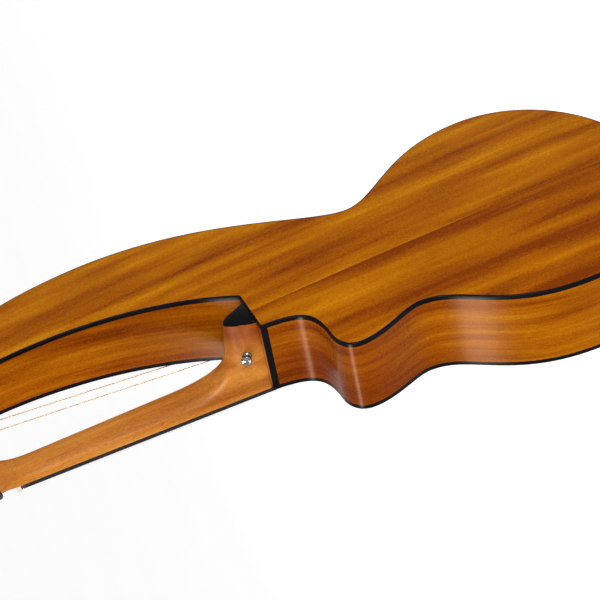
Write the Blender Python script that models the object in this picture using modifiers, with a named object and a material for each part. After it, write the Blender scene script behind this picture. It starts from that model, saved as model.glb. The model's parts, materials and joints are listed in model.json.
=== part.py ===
"""Harp guitar: a flat-top guitar whose hollow body runs up into a bass arm.

The model hangs upright. +Z points to the headstock, -Y is the playing side,
+X is the treble side. The origin is the middle of the nut, on the plane where
the fingerboard meets the neck and the soundboard lies. All named sizes are in
millimetres and become metres when a mesh is made.
"""
import math

import bmesh
import bpy
from mathutils import Matrix, Vector

MM = 0.001
CLEAR = 0.3
COLLECTION_NAME = "harp_guitar"

# Scale, neck joint and fingerboard
SCALE_LENGTH = 648.0
JOINT_FRET = 12
JOINT_SETBACK = 2.0
FRET_COUNT = 20
FRET_HEIGHT = 1.0
FRET_WIDTH = 2.2
NUT_WIDTH = 44.0
JOINT_FRET_WIDTH = 55.0
BOARD_THICKNESS = 6.5
BOARD_CROWN = 0.9
BOARD_TONGUE = 4.0
NUT_THICKNESS = 5.0
NUT_RISE = 1.1

# Body plan: stations are measured down from the neck joint
BODY_LENGTH = 532.0
BASS_BOUT, BASS_BOUT_STATION = 193.0, 368.0
TREBLE_BOUT, TREBLE_BOUT_STATION = 186.0, 374.0
BASS_WAIST, BASS_WAIST_STATION = 109.5, 179.0
TREBLE_WAIST, TREBLE_WAIST_STATION = 108.6, 175.0
ARM_BULGE, ARM_BULGE_STATION = 232.0, -169.5
ARM_INNER, ARM_INNER_STATION = 117.4, -275.0
ARM_END_STATION = -330.0
ARM_END_OUTER, ARM_END_INNER = 205.0, 112.5
ARM_END_LEAN = 14.0
HORN, HORN_STATION = 131.0, 93.5
CUTAWAY, CUTAWAY_STATION = 98.3, 64.4
JOINT_BASS, JOINT_TREBLE = 34.5, 33.8

# Body depth: the back is domed both ways and deepest at the tail
HEEL_DEPTH = 101.0
DEPTH_TAPER = 0.0333
DOME_STATION = 230.0
DOME_LENGTH_RADIUS = 11000.0
DOME_CROSS_RADIUS = 3040.0

# Shell thicknesses
TOP_THICKNESS = 2.8
BACK_THICKNESS = 2.8
RIB_THICKNESS = 2.3
BINDING_WIDTH = 2.0
BINDING_HEIGHT = 6.0
CUTAWAY_TRIM_LENGTH = 8.0
TAIL_SEAM = 1.0
BACK_GRID = 46.0
SMOOTH_ANGLE = 40.0
OVERRUN = 5.0

# Counts of faces and sections
HOLE_SIDES = 10
ROUND_SIDES = 16
SOUNDHOLE_SIDES = 32
TREBLE_COUNTS = (9, 7, 6, 9, 9)
BASS_COUNTS = (9, 9, 12, 6)
ARM_COUNTS = (11, 3)
NECK_SHAFT_COUNT = 4
HEEL_BEND_COUNT = 9
HEEL_TIP_COUNT = 3
HEEL_FLOOR_COUNT = 4
NECK_ARC_COUNT = 6
HEADSTOCK_CURVE_COUNT = 6
ARM_SHOULDER_COUNT = 7
SOUNDHOLE_RADIUS = 49.0
SOUNDHOLE_STATION = 173.0

# Inside pieces
NECK_BLOCK_LENGTH = 48.0
TAIL_BLOCK_HALF_WIDTH = 36.0
TAIL_BLOCK_LENGTH = 20.0
BRACE_WIDTH = 8.0
BRACE_HEIGHT = 15.0
BRACE_CROSS_RISE = 77.5
BRACE_HALF_ANGLE = math.radians(50.0)
BRACE_HALF_LENGTH = 118.0
BRIDGE_PLATE_THICKNESS = 3.0
BRIDGE_PLATE_DEPTH = 44.0
BRIDGE_PLATE_LAP = 4.0
BRIDGE_PLATE_BASS, BRIDGE_PLATE_TREBLE = 80.0, 60.0

# Bridge and saddles
SADDLE_COMPENSATION = 2.5
BRIDGE_HEIGHT = 9.0
BRIDGE_DEPTH = 36.0
BRIDGE_BASS, BRIDGE_TREBLE = 112.0, 62.0
BRIDGE_WING = 16.0
BRIDGE_TIP_HALF = 9.0
BRIDGE_EDGE = 1.5
BASS_SADDLE_MARGIN = 5.0
SADDLE_FRONT_MARGIN = 12.0
SADDLE_THICKNESS = 3.0
SADDLE_SLOT_DEPTH = 5.0
SADDLE_RISE = 2.9
SADDLE_HALF_LENGTH = 35.0
PIN_SETBACK = 13.0

# Strings, from the nut inwards: diameters of the real set
NECK_STRING_DIAMETERS = (1.35, 1.07, 0.81, 0.61, 0.45, 0.40)
WOUND_FROM = 0.6
NUT_STRING_SPAN = 37.0
SADDLE_STRING_SPAN = 56.0
BASS_STRING_DIAMETERS = (1.2, 1.35, 1.5, 1.65, 1.8)
BASS_STRING_FIRST = 44.5
BASS_STRING_SPACING = 11.0
BASS_STRING_SLOPE = 0.094
BASS_STRING_FAN = 0.0125

# Neck and heel: the back edge of the side view, as depth behind the fingerboard
NECK_DEPTH_NUT = 14.5
NECK_DEPTH_HEEL = 18.0
HEEL_START_STATION = -125.0
HEEL_KNEE_STATION, HEEL_KNEE_DEPTH = -40.5, 57.0
HEEL_KNEE_HEADING = -12.0
HEEL_BEND_TOP, HEEL_BEND_KNEE = 62.0, 24.0
HEEL_TIP_STATION = -31.5
HEEL_FRONT_STATION, HEEL_TURN_STATION = -24.0, -12.0
HEEL_HALF_WIDTH = 20.0
HEEL_OVERRUN = 27.0
HEEL_CAP_THICKNESS = 3.2
NECK_ROUNDNESS = 0.9
HEEL_ROUNDNESS = 1.6
JOINT_ROUNDNESS = 0.12
TRUSS_ROD_RADIUS = 3.0
TRUSS_ROD_TOP_GAP = 14.0
TRUSS_ROD_END_GAP = 12.0

# Headstock
HEADSTOCK_TILT = math.radians(13.0)
HEADSTOCK_THICKNESS = 15.0
HEADSTOCK_LAP = 0.5
HEADSTOCK_LENGTH = 186.0
HEADSTOCK_HALF_WIDTH = 37.0
HEADSTOCK_FLARE = 36.0
HEADSTOCK_SPREAD = 3.0
HEADSTOCK_CROWN = 20.0
HEADSTOCK_POST_FIRST = 46.0
HEADSTOCK_POST_SPACING = 42.0
POST_EDGE_DISTANCE = 14.0

# Arm head, above the end of the hollow arm
ARM_HEAD_TILT = math.radians(8.0)
ARM_HEAD_THICKNESS = 22.0
ARM_HEAD_LENGTH = 208.0
ARM_HEAD_RAMP = 50.0
ARM_HEAD_INNER = 97.0
ARM_BACK_STEP = 1.0
ARM_SHOULDER_LEAN = 6.0
ARM_SHOULDER_LOW, ARM_SHOULDER_HIGH = 30.0, 25.0
ARM_SHOULDER_HEIGHT = 60.0
ARM_TIP_HEIGHT, ARM_TIP_IN, ARM_TIP_WIDTH = 20.0, 8.0, 5.0
ARM_HEAD_EDGE, ARM_HEAD_FRONT_EDGE = 6.0, 1.5
ARM_NUT_RISE = 30.0
ARM_NUT_THICKNESS = 5.0
ARM_NUT_HEIGHT = 11.0
ARM_NUT_MARGIN = 8.0
ARM_POST_FIRST = (-180.0, 43.0)
ARM_POST_STEP = (16.75, 27.5)
ARM_POST_EDGE = 14.0

# Geared tuners
POST_RADIUS = 3.2
POST_PLAY = 0.7
POST_STAND = 17.0
POST_GROOVE_PLACE, POST_GROOVE_HALF = 6.0, 3.0
POST_GROOVE_RADIUS = 2.4
POST_TIP_EDGE = 0.8
GEAR_RADIUS = 6.3
GEAR_THICKNESS = 3.0
GEAR_SCREW_RADIUS, GEAR_SCREW_HEIGHT = 2.4, 1.6
PLATE_THICKNESS = 1.2
PLATE_INNER_RIM, PLATE_OUTER_RIM = 2.2, 3.2
PLATE_END = 16.0
WORM_RADIUS = 3.0
WORM_HALF_LENGTH = 4.5
LUG_THICKNESS = 1.6
LUG_HALF_WIDTH = 3.6
SHAFT_RADIUS = 2.0
BUTTON_START = 20.0
BUTTON_LENGTH = 17.0
BUTTON_RADIUS = 9.0
BUTTON_FLATTENING = 0.6

# Strap buttons
STRAP_BASE_RADIUS, STRAP_BASE_HEIGHT = 5.4, 1.5
STRAP_WAIST_RADIUS = 3.4
STRAP_CAP_RADIUS = 6.8
STRAP_HEIGHT = 12.0
STRAP_WAIST_LOW, STRAP_WAIST_DROP = 4.0, 5.0
STRAP_CAP_EDGE, STRAP_CAP_RIM = 1.2, 1.4
HEEL_STRAP_STATION = -19.2
HEEL_STRAP_DEPTH = 53.0
HEEL_STRAP_SEAT = 17.2
HEEL_STRAP_TURN = math.radians(25.0)
STRAP_SEAT_MARGIN, STRAP_SEAT_DEPTH = 1.0, 30.0
TAIL_STRAP_DEPTH = 58.0


# Derived places
def fret_distance(number):
    """Distance of a fret from the nut, in equal temperament."""
    return SCALE_LENGTH * (1.0 - 2.0 ** (-number / 12.0))


JOINT_Z = -(fret_distance(JOINT_FRET) + JOINT_SETBACK)
SADDLE_Z = -(SCALE_LENGTH + SADDLE_COMPENSATION)
BRIDGE_TOP_Z = SADDLE_Z + SADDLE_FRONT_MARGIN
ARM_END_Z = JOINT_Z - ARM_END_STATION
ARM_NUT_Z = ARM_END_Z + ARM_NUT_RISE
TRUSS_ROD_LENGTH = -JOINT_Z - TRUSS_ROD_TOP_GAP - TRUSS_ROD_END_GAP
HEADSTOCK_START = NUT_THICKNESS - HEADSTOCK_LAP
NUT_HEIGHT = BOARD_THICKNESS + FRET_HEIGHT + NUT_RISE
SADDLE_TOP = BRIDGE_HEIGHT + CLEAR + SADDLE_RISE
POST_HOLE_RADIUS = POST_RADIUS + POST_PLAY
PLATE_INNER = GEAR_RADIUS + PLATE_INNER_RIM
PLATE_OUTER = GEAR_RADIUS + PLATE_OUTER_RIM


def at_station(station):
    """Height of a station that is measured down from the neck joint."""
    return JOINT_Z - station


def back_depth(x, z):
    """Depth of the domed back behind the soundboard plane."""
    station = JOINT_Z - z
    along = ((station - DOME_STATION) ** 2 - DOME_STATION ** 2) / (2 * DOME_LENGTH_RADIUS)
    across = x * x / (2 * DOME_CROSS_RADIUS)
    return HEEL_DEPTH + DEPTH_TAPER * station - along - across


def board_half_width(z):
    """Half width of the tapering fingerboard at a height."""
    taper = (JOINT_FRET_WIDTH - NUT_WIDTH) / 2 / fret_distance(JOINT_FRET)
    return NUT_WIDTH / 2 - taper * z


# Scene and material helpers
def clear_scene():
    for item in list(bpy.data.objects):
        bpy.data.objects.remove(item, do_unlink=True)


def make_collection(name):
    collection = bpy.data.collections.new(name)
    bpy.context.scene.collection.children.link(collection)
    return collection


def make_material(name, colour, roughness, metallic=0.0):
    material = bpy.data.materials.new(name)
    material.use_nodes = True
    shader = material.node_tree.nodes["Principled BSDF"]
    shader.inputs["Base Color"].default_value = (*colour, 1.0)
    shader.inputs["Roughness"].default_value = roughness
    shader.inputs["Metallic"].default_value = metallic
    material.diffuse_color = (*colour, 1.0)
    return material


def add_object(name, mesh, material, collection=None):
    item = bpy.data.objects.new(name, mesh)
    (collection or PARTS).objects.link(item)
    if material:
        mesh.materials.append(material)
    return item


def object_from_bmesh(name, shape, material, collection=None):
    """Turn a bmesh in millimetres into an object in metres."""
    bmesh.ops.scale(shape, vec=(MM, MM, MM), verts=shape.verts)
    bmesh.ops.recalc_face_normals(shape, faces=shape.faces)
    mesh = bpy.data.meshes.new(name)
    shape.to_mesh(mesh)
    shape.free()
    return add_object(name, mesh, material, collection)


def hide_cutter(item):
    item.hide_render = True
    item.display_type = 'WIRE'


def cut_with(item, cutters):
    """Subtract every object of a collection from a piece."""
    boolean = item.modifiers.new("cuts", 'BOOLEAN')
    boolean.operation = 'DIFFERENCE'
    boolean.operand_type = 'COLLECTION'
    boolean.collection = cutters
    boolean.solver = 'EXACT'


def join_with(item, others):
    """Unite a piece with the objects of a collection."""
    boolean = item.modifiers.new("joins", 'BOOLEAN')
    boolean.operation = 'UNION'
    boolean.operand_type = 'COLLECTION'
    boolean.collection = others
    boolean.solver = 'EXACT'


def shade(item):
    """Shade a rounded piece smooth, with its real edges sharp."""
    item.data.shade_smooth()
    item.data.set_sharp_from_angle(angle=math.radians(SMOOTH_ANGLE))
    return item


# Curves of the outline
def bezier(start, start_heading, start_handle, end, end_heading, end_handle, steps):
    """Points of one curve between two places with headings in degrees."""
    first = Vector(start)
    last = Vector(end)
    out = Vector((math.cos(math.radians(start_heading)), math.sin(math.radians(start_heading))))
    into = Vector((math.cos(math.radians(end_heading)), math.sin(math.radians(end_heading))))
    second = first + out * start_handle
    third = last - into * end_handle
    points = []
    for step in range(steps + 1):
        t = step / steps
        points.append((1 - t) ** 3 * first + 3 * (1 - t) ** 2 * t * second
                      + 3 * (1 - t) * t * t * third + t ** 3 * last)
    return points


def chain(nodes, steps):
    """Join curves through nodes of (x, z, heading, handle in, handle out)."""
    points = []
    for (a, b, count) in zip(nodes[:-1], nodes[1:], steps):
        piece = bezier(a[:2], a[2], a[4], b[:2], b[2], b[3], count)
        points.extend(piece if not points else piece[1:])
    return points


UP, DOWN, RIGHT, LEFT = 90.0, -90.0, 0.0, 180.0


def treble_path():
    """Outer edge from the neck joint round the cutaway to the tail."""
    nodes = (
        (JOINT_TREBLE, JOINT_Z, DOWN + 4.7, 0, 52.8),
        (CUTAWAY, at_station(CUTAWAY_STATION), RIGHT, 48.5, 5.2),
        (HORN, at_station(HORN_STATION), DOWN, 27.0, 31.6),
        (TREBLE_WAIST, at_station(TREBLE_WAIST_STATION), DOWN, 10.0, 57.3),
        (TREBLE_BOUT, at_station(TREBLE_BOUT_STATION), DOWN, 124.0, 92.0),
        (0.0, at_station(BODY_LENGTH), LEFT, 88.0, 0),
    )
    return chain(nodes, TREBLE_COUNTS)


def bass_path():
    """Outer edge from the tail up the bass side to the end of the arm."""
    nodes = (
        (0.0, at_station(BODY_LENGTH), LEFT, 0, 90.6),
        (-BASS_BOUT, at_station(BASS_BOUT_STATION), UP, 95.5, 101.0),
        (-BASS_WAIST, at_station(BASS_WAIST_STATION), UP, 42.0, 52.3),
        (-ARM_BULGE, at_station(ARM_BULGE_STATION), UP, 183.0, 80.0),
        (-ARM_END_OUTER, ARM_END_Z, UP - ARM_END_LEAN, 55.0, 0),
    )
    return chain(nodes, BASS_COUNTS)


def arm_path():
    """Outer edge from the neck joint up the inner side of the arm."""
    nodes = (
        (-JOINT_BASS, JOINT_Z, LEFT - 51.2, 0, 10.3),
        (-ARM_INNER, at_station(ARM_INNER_STATION), UP, 164.0, 25.0),
        (-ARM_END_INNER, ARM_END_Z, UP - ARM_END_LEAN, 16.0, 0),
    )
    return chain(nodes, ARM_COUNTS)


def body_outline():
    """The closed plan of the body, clockwise from the treble side of the joint."""
    loop = treble_path() + bass_path()[1:]
    loop += list(reversed(arm_path()))
    return loop


def inset(loop, distance):
    """Move a closed clockwise loop inwards, with mitred corners."""
    count = len(loop)
    result = []
    for index, point in enumerate(loop):
        before = (point - loop[index - 1]).normalized()
        after = (loop[(index + 1) % count] - point).normalized()
        inward = Vector((before.y, -before.x)) + Vector((after.y, -after.x))
        inward.normalize()
        stretch = inward.dot(Vector((before.y, -before.x)))
        result.append(point + inward * (distance / stretch))
    return result


def trimmed(path, start=0.0, end=0.0):
    """A path shortened by a length at its start and its end."""
    def cut(points, length):
        remaining = length
        while remaining > 0:
            span = (points[1] - points[0]).length
            if span > remaining:
                return [points[0].lerp(points[1], remaining / span)] + points[1:]
            points = points[1:]
            remaining -= span
        return points
    points = cut(list(path), start)
    return list(reversed(cut(list(reversed(points)), end)))


def path_head(path, length):
    """The first stretch of a path."""
    total = sum((b - a).length for a, b in zip(path[:-1], path[1:]))
    return trimmed(path, 0.0, total - length)


# Shapes
def prism(name, loops, lo, hi, material, axis='Y', collection=None):
    """Extrude flat loops between two places along Y (x, z loops) or X (y, z loops)."""
    curve = bpy.data.curves.new(name, 'CURVE')
    curve.dimensions = '2D'
    curve.fill_mode = 'BOTH'
    curve.extrude = (hi - lo) / 2 * MM
    for loop in loops:
        spline = curve.splines.new('POLY')
        spline.points.add(len(loop) - 1)
        for point, place in zip(spline.points, loop):
            point.co = (place[0] * MM, place[1] * MM, 0, 1)
        spline.use_cyclic_u = True
    item = bpy.data.objects.new(name, curve)
    PARTS.objects.link(item)
    if axis == 'Y':
        turn = Matrix.Rotation(math.radians(90), 4, 'X')
        shift = Matrix.Translation((0, (lo + hi) / 2 * MM, 0))
    else:
        turn = Matrix(((0, 0, 1, 0), (1, 0, 0, 0), (0, 1, 0, 0), (0, 0, 0, 1)))
        shift = Matrix.Translation(((lo + hi) / 2 * MM, 0, 0))
    evaluated = item.evaluated_get(bpy.context.evaluated_depsgraph_get())
    mesh = bpy.data.meshes.new_from_object(evaluated)
    bpy.data.objects.remove(item)
    shape = bmesh.new()
    shape.from_mesh(mesh)
    bpy.data.meshes.remove(mesh)
    bmesh.ops.remove_doubles(shape, verts=shape.verts, dist=1e-6)
    bmesh.ops.transform(shape, matrix=shift @ turn, verts=shape.verts)
    bmesh.ops.recalc_face_normals(shape, faces=shape.faces)
    result = bpy.data.meshes.new(name)
    shape.to_mesh(result)
    shape.free()
    return add_object(name, result, material, collection)


def box(name, corner_a, corner_b, material, collection=None, matrix=None):
    """A box between two corners, optionally moved by a matrix in millimetres."""
    a = Vector(corner_a)
    b = Vector(corner_b)
    shape = bmesh.new()
    bmesh.ops.create_cube(shape, size=1.0)
    size = b - a
    bmesh.ops.scale(shape, vec=size, verts=shape.verts)
    bmesh.ops.translate(shape, vec=(a + b) / 2, verts=shape.verts)
    if matrix:
        bmesh.ops.transform(shape, matrix=matrix, verts=shape.verts)
    return object_from_bmesh(name, shape, material, collection)


def turned(name, profile, matrix, material, sides, collection=None):
    """Turn a profile of (radius, height) about the Z axis of a matrix."""
    shape = bmesh.new()
    verts = [shape.verts.new((radius * MM, 0, height * MM)) for radius, height in profile]
    for a, b in zip(verts[:-1], verts[1:]):
        shape.edges.new((a, b))
    mesh = bpy.data.meshes.new(name)
    shape.to_mesh(mesh)
    shape.free()
    item = add_object(name, mesh, material, collection)
    item.matrix_world = Matrix(
        [[matrix[r][c] * (MM if c == 3 and r < 3 else 1.0) for c in range(4)] for r in range(4)])
    screw = item.modifiers.new("turn", 'SCREW')
    screw.steps = sides
    screw.render_steps = sides
    screw.use_merge_vertices = True
    screw.merge_threshold = 0.00001
    screw.use_smooth_shade = True
    return item


def drill(name, depth, radius, matrix, collection):
    """A round cutter that runs from in front of a face to past a depth behind it."""
    cutter = turned(name, ((0, depth + OVERRUN), (radius, depth + OVERRUN), (radius, -OVERRUN),
                    (0, -OVERRUN)), matrix, None, HOLE_SIDES, collection)
    hide_cutter(cutter)


def strip(name, path, near, far, thickness, material, closed=False):
    """A wall along a plan path, from a near to a far depth, with its thickness inside."""
    shape = bmesh.new()
    front = [shape.verts.new((p.x, near(p.x, p.y), p.y)) for p in path]
    rear = [shape.verts.new((p.x, far(p.x, p.y), p.y)) for p in path]
    last = len(path) if closed else len(path) - 1
    for index in range(last):
        after = (index + 1) % len(path)
        shape.faces.new((front[index], front[after], rear[after], rear[index]))
    bmesh.ops.scale(shape, vec=(MM, MM, MM), verts=shape.verts)
    shape.normal_update()
    mesh = bpy.data.meshes.new(name)
    shape.to_mesh(mesh)
    shape.free()
    item = shade(add_object(name, mesh, material))
    solid = item.modifiers.new("thickness", 'SOLIDIFY')
    solid.thickness = thickness * MM
    solid.offset = -1.0
    solid.use_even_offset = True
    return item


def loft(sections):
    """A closed skin over rings with the same number of points."""
    shape = bmesh.new()
    rings = [[shape.verts.new(point) for point in section] for section in sections]
    count = len(rings[0])
    for lower, upper in zip(rings[:-1], rings[1:]):
        for index in range(count):
            after = (index + 1) % count
            shape.faces.new((lower[index], lower[after], upper[after], upper[index]))
    shape.faces.new(rings[0])
    shape.faces.new(rings[-1])
    bmesh.ops.recalc_face_normals(shape, faces=shape.faces)
    return shape


def keep_side(shape, point, normal):
    """Cut a closed shape by a plane and keep the side that the normal leaves."""
    geometry = shape.verts[:] + shape.edges[:] + shape.faces[:]
    cut = bmesh.ops.bisect_plane(shape, geom=geometry, plane_co=point, plane_no=normal,
                                 clear_outer=True, dist=1e-4)["geom_cut"]
    edges = [item for item in cut if isinstance(item, bmesh.types.BMEdge)]
    bmesh.ops.contextual_create(shape, geom=edges)


def tube(name, points, radius, material):
    """A round wire through points."""
    curve = bpy.data.curves.new(name, 'CURVE')
    curve.dimensions = '3D'
    curve.bevel_depth = radius * MM
    curve.bevel_resolution = 1
    curve.use_fill_caps = True
    spline = curve.splines.new('POLY')
    spline.points.add(len(points) - 1)
    for point, place in zip(spline.points, points):
        point.co = (place[0] * MM, place[1] * MM, place[2] * MM, 1)
    item = bpy.data.objects.new(name, curve)
    PARTS.objects.link(item)
    curve.materials.append(material)
    return item


def head_frame(height, tilt):
    """Frame of a tilted head face: x across, y up the face, z out of its back."""
    up = Vector((0, math.sin(tilt), math.cos(tilt)))
    back = Vector((0, math.cos(tilt), -math.sin(tilt)))
    frame = Matrix.Identity(4)
    for row in range(3):
        frame[row][0] = (1, 0, 0)[row]
        frame[row][1] = up[row]
        frame[row][2] = back[row]
    frame[2][3] = height
    return frame


# Body shell
def build_soundboard():
    outline = inset(body_outline(), BINDING_WIDTH + CLEAR)
    centre = at_station(SOUNDHOLE_STATION)
    hole = [(SOUNDHOLE_RADIUS * math.cos(a), centre + SOUNDHOLE_RADIUS * math.sin(a))
            for a in (2 * math.pi * k / SOUNDHOLE_SIDES for k in range(SOUNDHOLE_SIDES))]
    prism("soundboard", (outline, hole), 0.0, TOP_THICKNESS, SPRUCE)


def build_back():
    """The back is a flat sheet, cut into cells and lifted on to the dome."""
    outline = inset(body_outline(), BINDING_WIDTH + CLEAR)
    shape = bmesh.new()
    shape.faces.new([shape.verts.new((p.x, 0, p.y)) for p in outline])
    lowest = min(p.y for p in outline)
    highest = max(p.y for p in outline)
    leftmost = min(p.x for p in outline)
    rightmost = max(p.x for p in outline)
    cuts = [((0, 0, z), (0, 0, 1)) for z in spaced(lowest, highest, BACK_GRID)]
    cuts += [((x, 0, 0), (1, 0, 0)) for x in spaced(leftmost, rightmost, BACK_GRID)]
    for place, normal in cuts:
        geometry = shape.verts[:] + shape.edges[:] + shape.faces[:]
        bmesh.ops.bisect_plane(shape, geom=geometry, plane_co=place, plane_no=normal, dist=1e-3)
    bmesh.ops.triangulate(shape, faces=shape.faces)
    for vert in shape.verts:
        vert.co.y = back_depth(vert.co.x, vert.co.z)
    bmesh.ops.scale(shape, vec=(MM, MM, MM), verts=shape.verts)
    shape.normal_update()
    if sum(face.normal.y * face.calc_area() for face in shape.faces) < 0:
        bmesh.ops.reverse_faces(shape, faces=shape.faces)
    mesh = bpy.data.meshes.new("back_plate")
    shape.to_mesh(mesh)
    shape.free()
    item = shade(add_object("back_plate", mesh, MAHOGANY))
    solid = item.modifiers.new("thickness", 'SOLIDIFY')
    solid.thickness = BACK_THICKNESS * MM
    solid.offset = -1.0
    solid.use_even_offset = True


def spaced(low, high, step):
    """Evenly spaced cuts that divide a span into cells of about one step."""
    count = max(2, round((high - low) / step))
    return [low + (high - low) * k / count for k in range(1, count)]


def rib_near(x, z):
    return BINDING_HEIGHT + CLEAR


def rib_far(x, z):
    return back_depth(x, z) - BINDING_HEIGHT - CLEAR


def build_ribs():
    treble = treble_path()
    half_gap = TAIL_SEAM / 2
    strip("cutaway_trim", path_head(treble, CUTAWAY_TRIM_LENGTH), rib_near, rib_far,
          RIB_THICKNESS, BLACK)
    strip("side_treble", trimmed(treble, CUTAWAY_TRIM_LENGTH + CLEAR, half_gap),
          rib_near, rib_far, RIB_THICKNESS, MAHOGANY)
    strip("side_bass", trimmed(bass_path(), half_gap), rib_near, rib_far,
          RIB_THICKNESS, MAHOGANY)
    square_end = RIB_THICKNESS * math.tan(math.radians(ARM_END_LEAN))
    inner = list(reversed(trimmed(arm_path(), 0.0, square_end)))
    strip("side_arm", inner, rib_near, rib_far, RIB_THICKNESS, MAHOGANY)


def build_bindings():
    outline = body_outline()
    strip("top_binding", outline, lambda x, z: 0.0, lambda x, z: BINDING_HEIGHT,
          BINDING_WIDTH, BLACK, closed=True)
    strip("back_binding", outline, lambda x, z: back_depth(x, z) - BINDING_HEIGHT,
          back_depth, BINDING_WIDTH, BLACK, closed=True)


# Inside of the body
def build_blocks():
    """The neck block steps back behind the bindings; the tail block follows the rib."""
    front = JOINT_Z
    behind = JOINT_Z - BINDING_WIDTH - CLEAR
    far = JOINT_Z - NECK_BLOCK_LENGTH
    inner_near = TOP_THICKNESS + CLEAR
    edge_near = BINDING_HEIGHT + CLEAR
    side = max(JOINT_BASS, JOINT_TREBLE)

    def inner_far(z):
        return back_depth(side, z) - BACK_THICKNESS - 2 * CLEAR

    def edge_far(z):
        return back_depth(side, z) - BINDING_HEIGHT - CLEAR

    profile = ((edge_near, front), (edge_near, behind), (inner_near, behind), (inner_near, far),
               (inner_far(far), far), (inner_far(behind), behind), (edge_far(behind), behind),
               (edge_far(front), front))
    prism("neck_block", (profile,), -(JOINT_BASS - CLEAR),
          JOINT_TREBLE - RIB_THICKNESS - CLEAR, MAHOGANY, axis='X')

    inner = inset(body_outline(), RIB_THICKNESS + CLEAR)
    top = at_station(BODY_LENGTH - RIB_THICKNESS - TAIL_BLOCK_LENGTH)
    loop = [p for p in inner if p.y < top and abs(p.x) < TAIL_BLOCK_HALF_WIDTH]
    loop = [Vector((TAIL_BLOCK_HALF_WIDTH * 0.98, top))] + loop
    loop.append(Vector((-TAIL_BLOCK_HALF_WIDTH * 0.98, top)))
    deep = back_depth(TAIL_BLOCK_HALF_WIDTH, top) - BACK_THICKNESS - 2 * CLEAR
    prism("tail_block", (loop,), inner_near, deep, MAHOGANY)


def build_bracing():
    """One crossed brace, and the plate that backs the bridge between its legs."""
    near = TOP_THICKNESS + CLEAR
    centre = Matrix.Translation((0, 0, BRIDGE_TOP_Z + BRACE_CROSS_RISE))
    others = make_collection("brace_guides")
    legs = []
    for name, sign in (("top_brace", 1), ("brace_leg", -1)):
        turn = Matrix.Rotation(sign * BRACE_HALF_ANGLE, 4, 'Y')
        half = BRACE_WIDTH / 2
        legs.append(box(name, (-half, near, -BRACE_HALF_LENGTH), (half, near + BRACE_HEIGHT,
                        BRACE_HALF_LENGTH), SPRUCE, others if sign < 0 else PARTS, centre @ turn))
    hide_cutter(legs[1])
    join_with(legs[0], others)
    top = BRIDGE_TOP_Z + (BRIDGE_PLATE_DEPTH - BRIDGE_DEPTH) / 2 - BRIDGE_PLATE_LAP
    box("bridge_plate", (-BRIDGE_PLATE_BASS, near, top - BRIDGE_PLATE_DEPTH),
        (BRIDGE_PLATE_TREBLE, near + BRIDGE_PLATE_THICKNESS, top), ROSEWOOD)


# Neck
def neck_side():
    """Side view of the neck as rows of (front height, back height, depth, roundness)."""
    places = []
    start = at_station(HEEL_START_STATION)
    for k in range(NECK_SHAFT_COUNT):
        t = k / NECK_SHAFT_COUNT
        z = NUT_THICKNESS * (1 - t) + start * t
        places.append((z, z, NECK_DEPTH_NUT * (1 - t) + NECK_DEPTH_HEEL * t, NECK_ROUNDNESS))
    knee = (HEEL_KNEE_DEPTH, at_station(HEEL_KNEE_STATION))
    curve = bezier((NECK_DEPTH_HEEL, start), DOWN, HEEL_BEND_TOP, knee, HEEL_KNEE_HEADING,
                   HEEL_BEND_KNEE, HEEL_BEND_COUNT)
    floor = HEEL_DEPTH + HEEL_OVERRUN
    tip = at_station(HEEL_TIP_STATION)
    for k, point in enumerate(curve):
        t = k / HEEL_BEND_COUNT
        partner = start + (at_station(HEEL_FRONT_STATION) - start) * t
        roundness = NECK_ROUNDNESS + (HEEL_ROUNDNESS - NECK_ROUNDNESS) * t * t
        places.append((partner, point.y, point.x, roundness))
    for k in range(1, HEEL_TIP_COUNT + 1):
        t = k / HEEL_TIP_COUNT
        partner = at_station(HEEL_FRONT_STATION + (HEEL_TURN_STATION - HEEL_FRONT_STATION) * t)
        places.append((partner, knee[1] + (tip - knee[1]) * t, knee[0] + (floor - knee[0]) * t,
                       HEEL_ROUNDNESS))
    for k in range(1, HEEL_FLOOR_COUNT + 1):
        t = k / HEEL_FLOOR_COUNT
        partner = at_station(HEEL_TURN_STATION * (1 - t)) + CLEAR * t
        places.append((partner, tip + (JOINT_Z + CLEAR - tip) * t, floor,
                       HEEL_ROUNDNESS + (JOINT_ROUNDNESS - HEEL_ROUNDNESS) * t))
    return places


def neck_body():
    """Neck and heel as sections that fan out from the fingerboard plane."""
    sections = []
    for front_z, back_z, depth, roundness in neck_side():
        front_half = board_half_width(front_z)
        section = []
        for k in range(2 * NECK_ARC_COUNT + 1):
            angle = math.pi * k / (2 * NECK_ARC_COUNT)
            across = math.copysign(abs(math.cos(angle)) ** roundness, math.cos(angle))
            if k == NECK_ARC_COUNT:
                across = 0.0
            t = math.sin(angle) ** roundness if 0 < k < 2 * NECK_ARC_COUNT else 0.0
            narrowing = 1 - (1 - HEEL_HALF_WIDTH / front_half) * min(1, t * depth / HEEL_DEPTH)
            section.append(Vector((front_half * across * narrowing, depth * t,
                                   front_z + (back_z - front_z) * t)))
        sections.append(section)
    return loft(sections)


def heel_plane(offset):
    """A plane at a depth in front of the back, following its slope at the heel."""
    at_joint = back_depth(0, JOINT_Z)
    at_tip = back_depth(0, at_station(HEEL_TIP_STATION))
    slope = (at_tip - at_joint) / (at_station(HEEL_TIP_STATION) - JOINT_Z)
    point = Vector((0, at_joint - offset, JOINT_Z))
    normal = Vector((0, 1, -slope)).normalized()
    return point, normal


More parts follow.
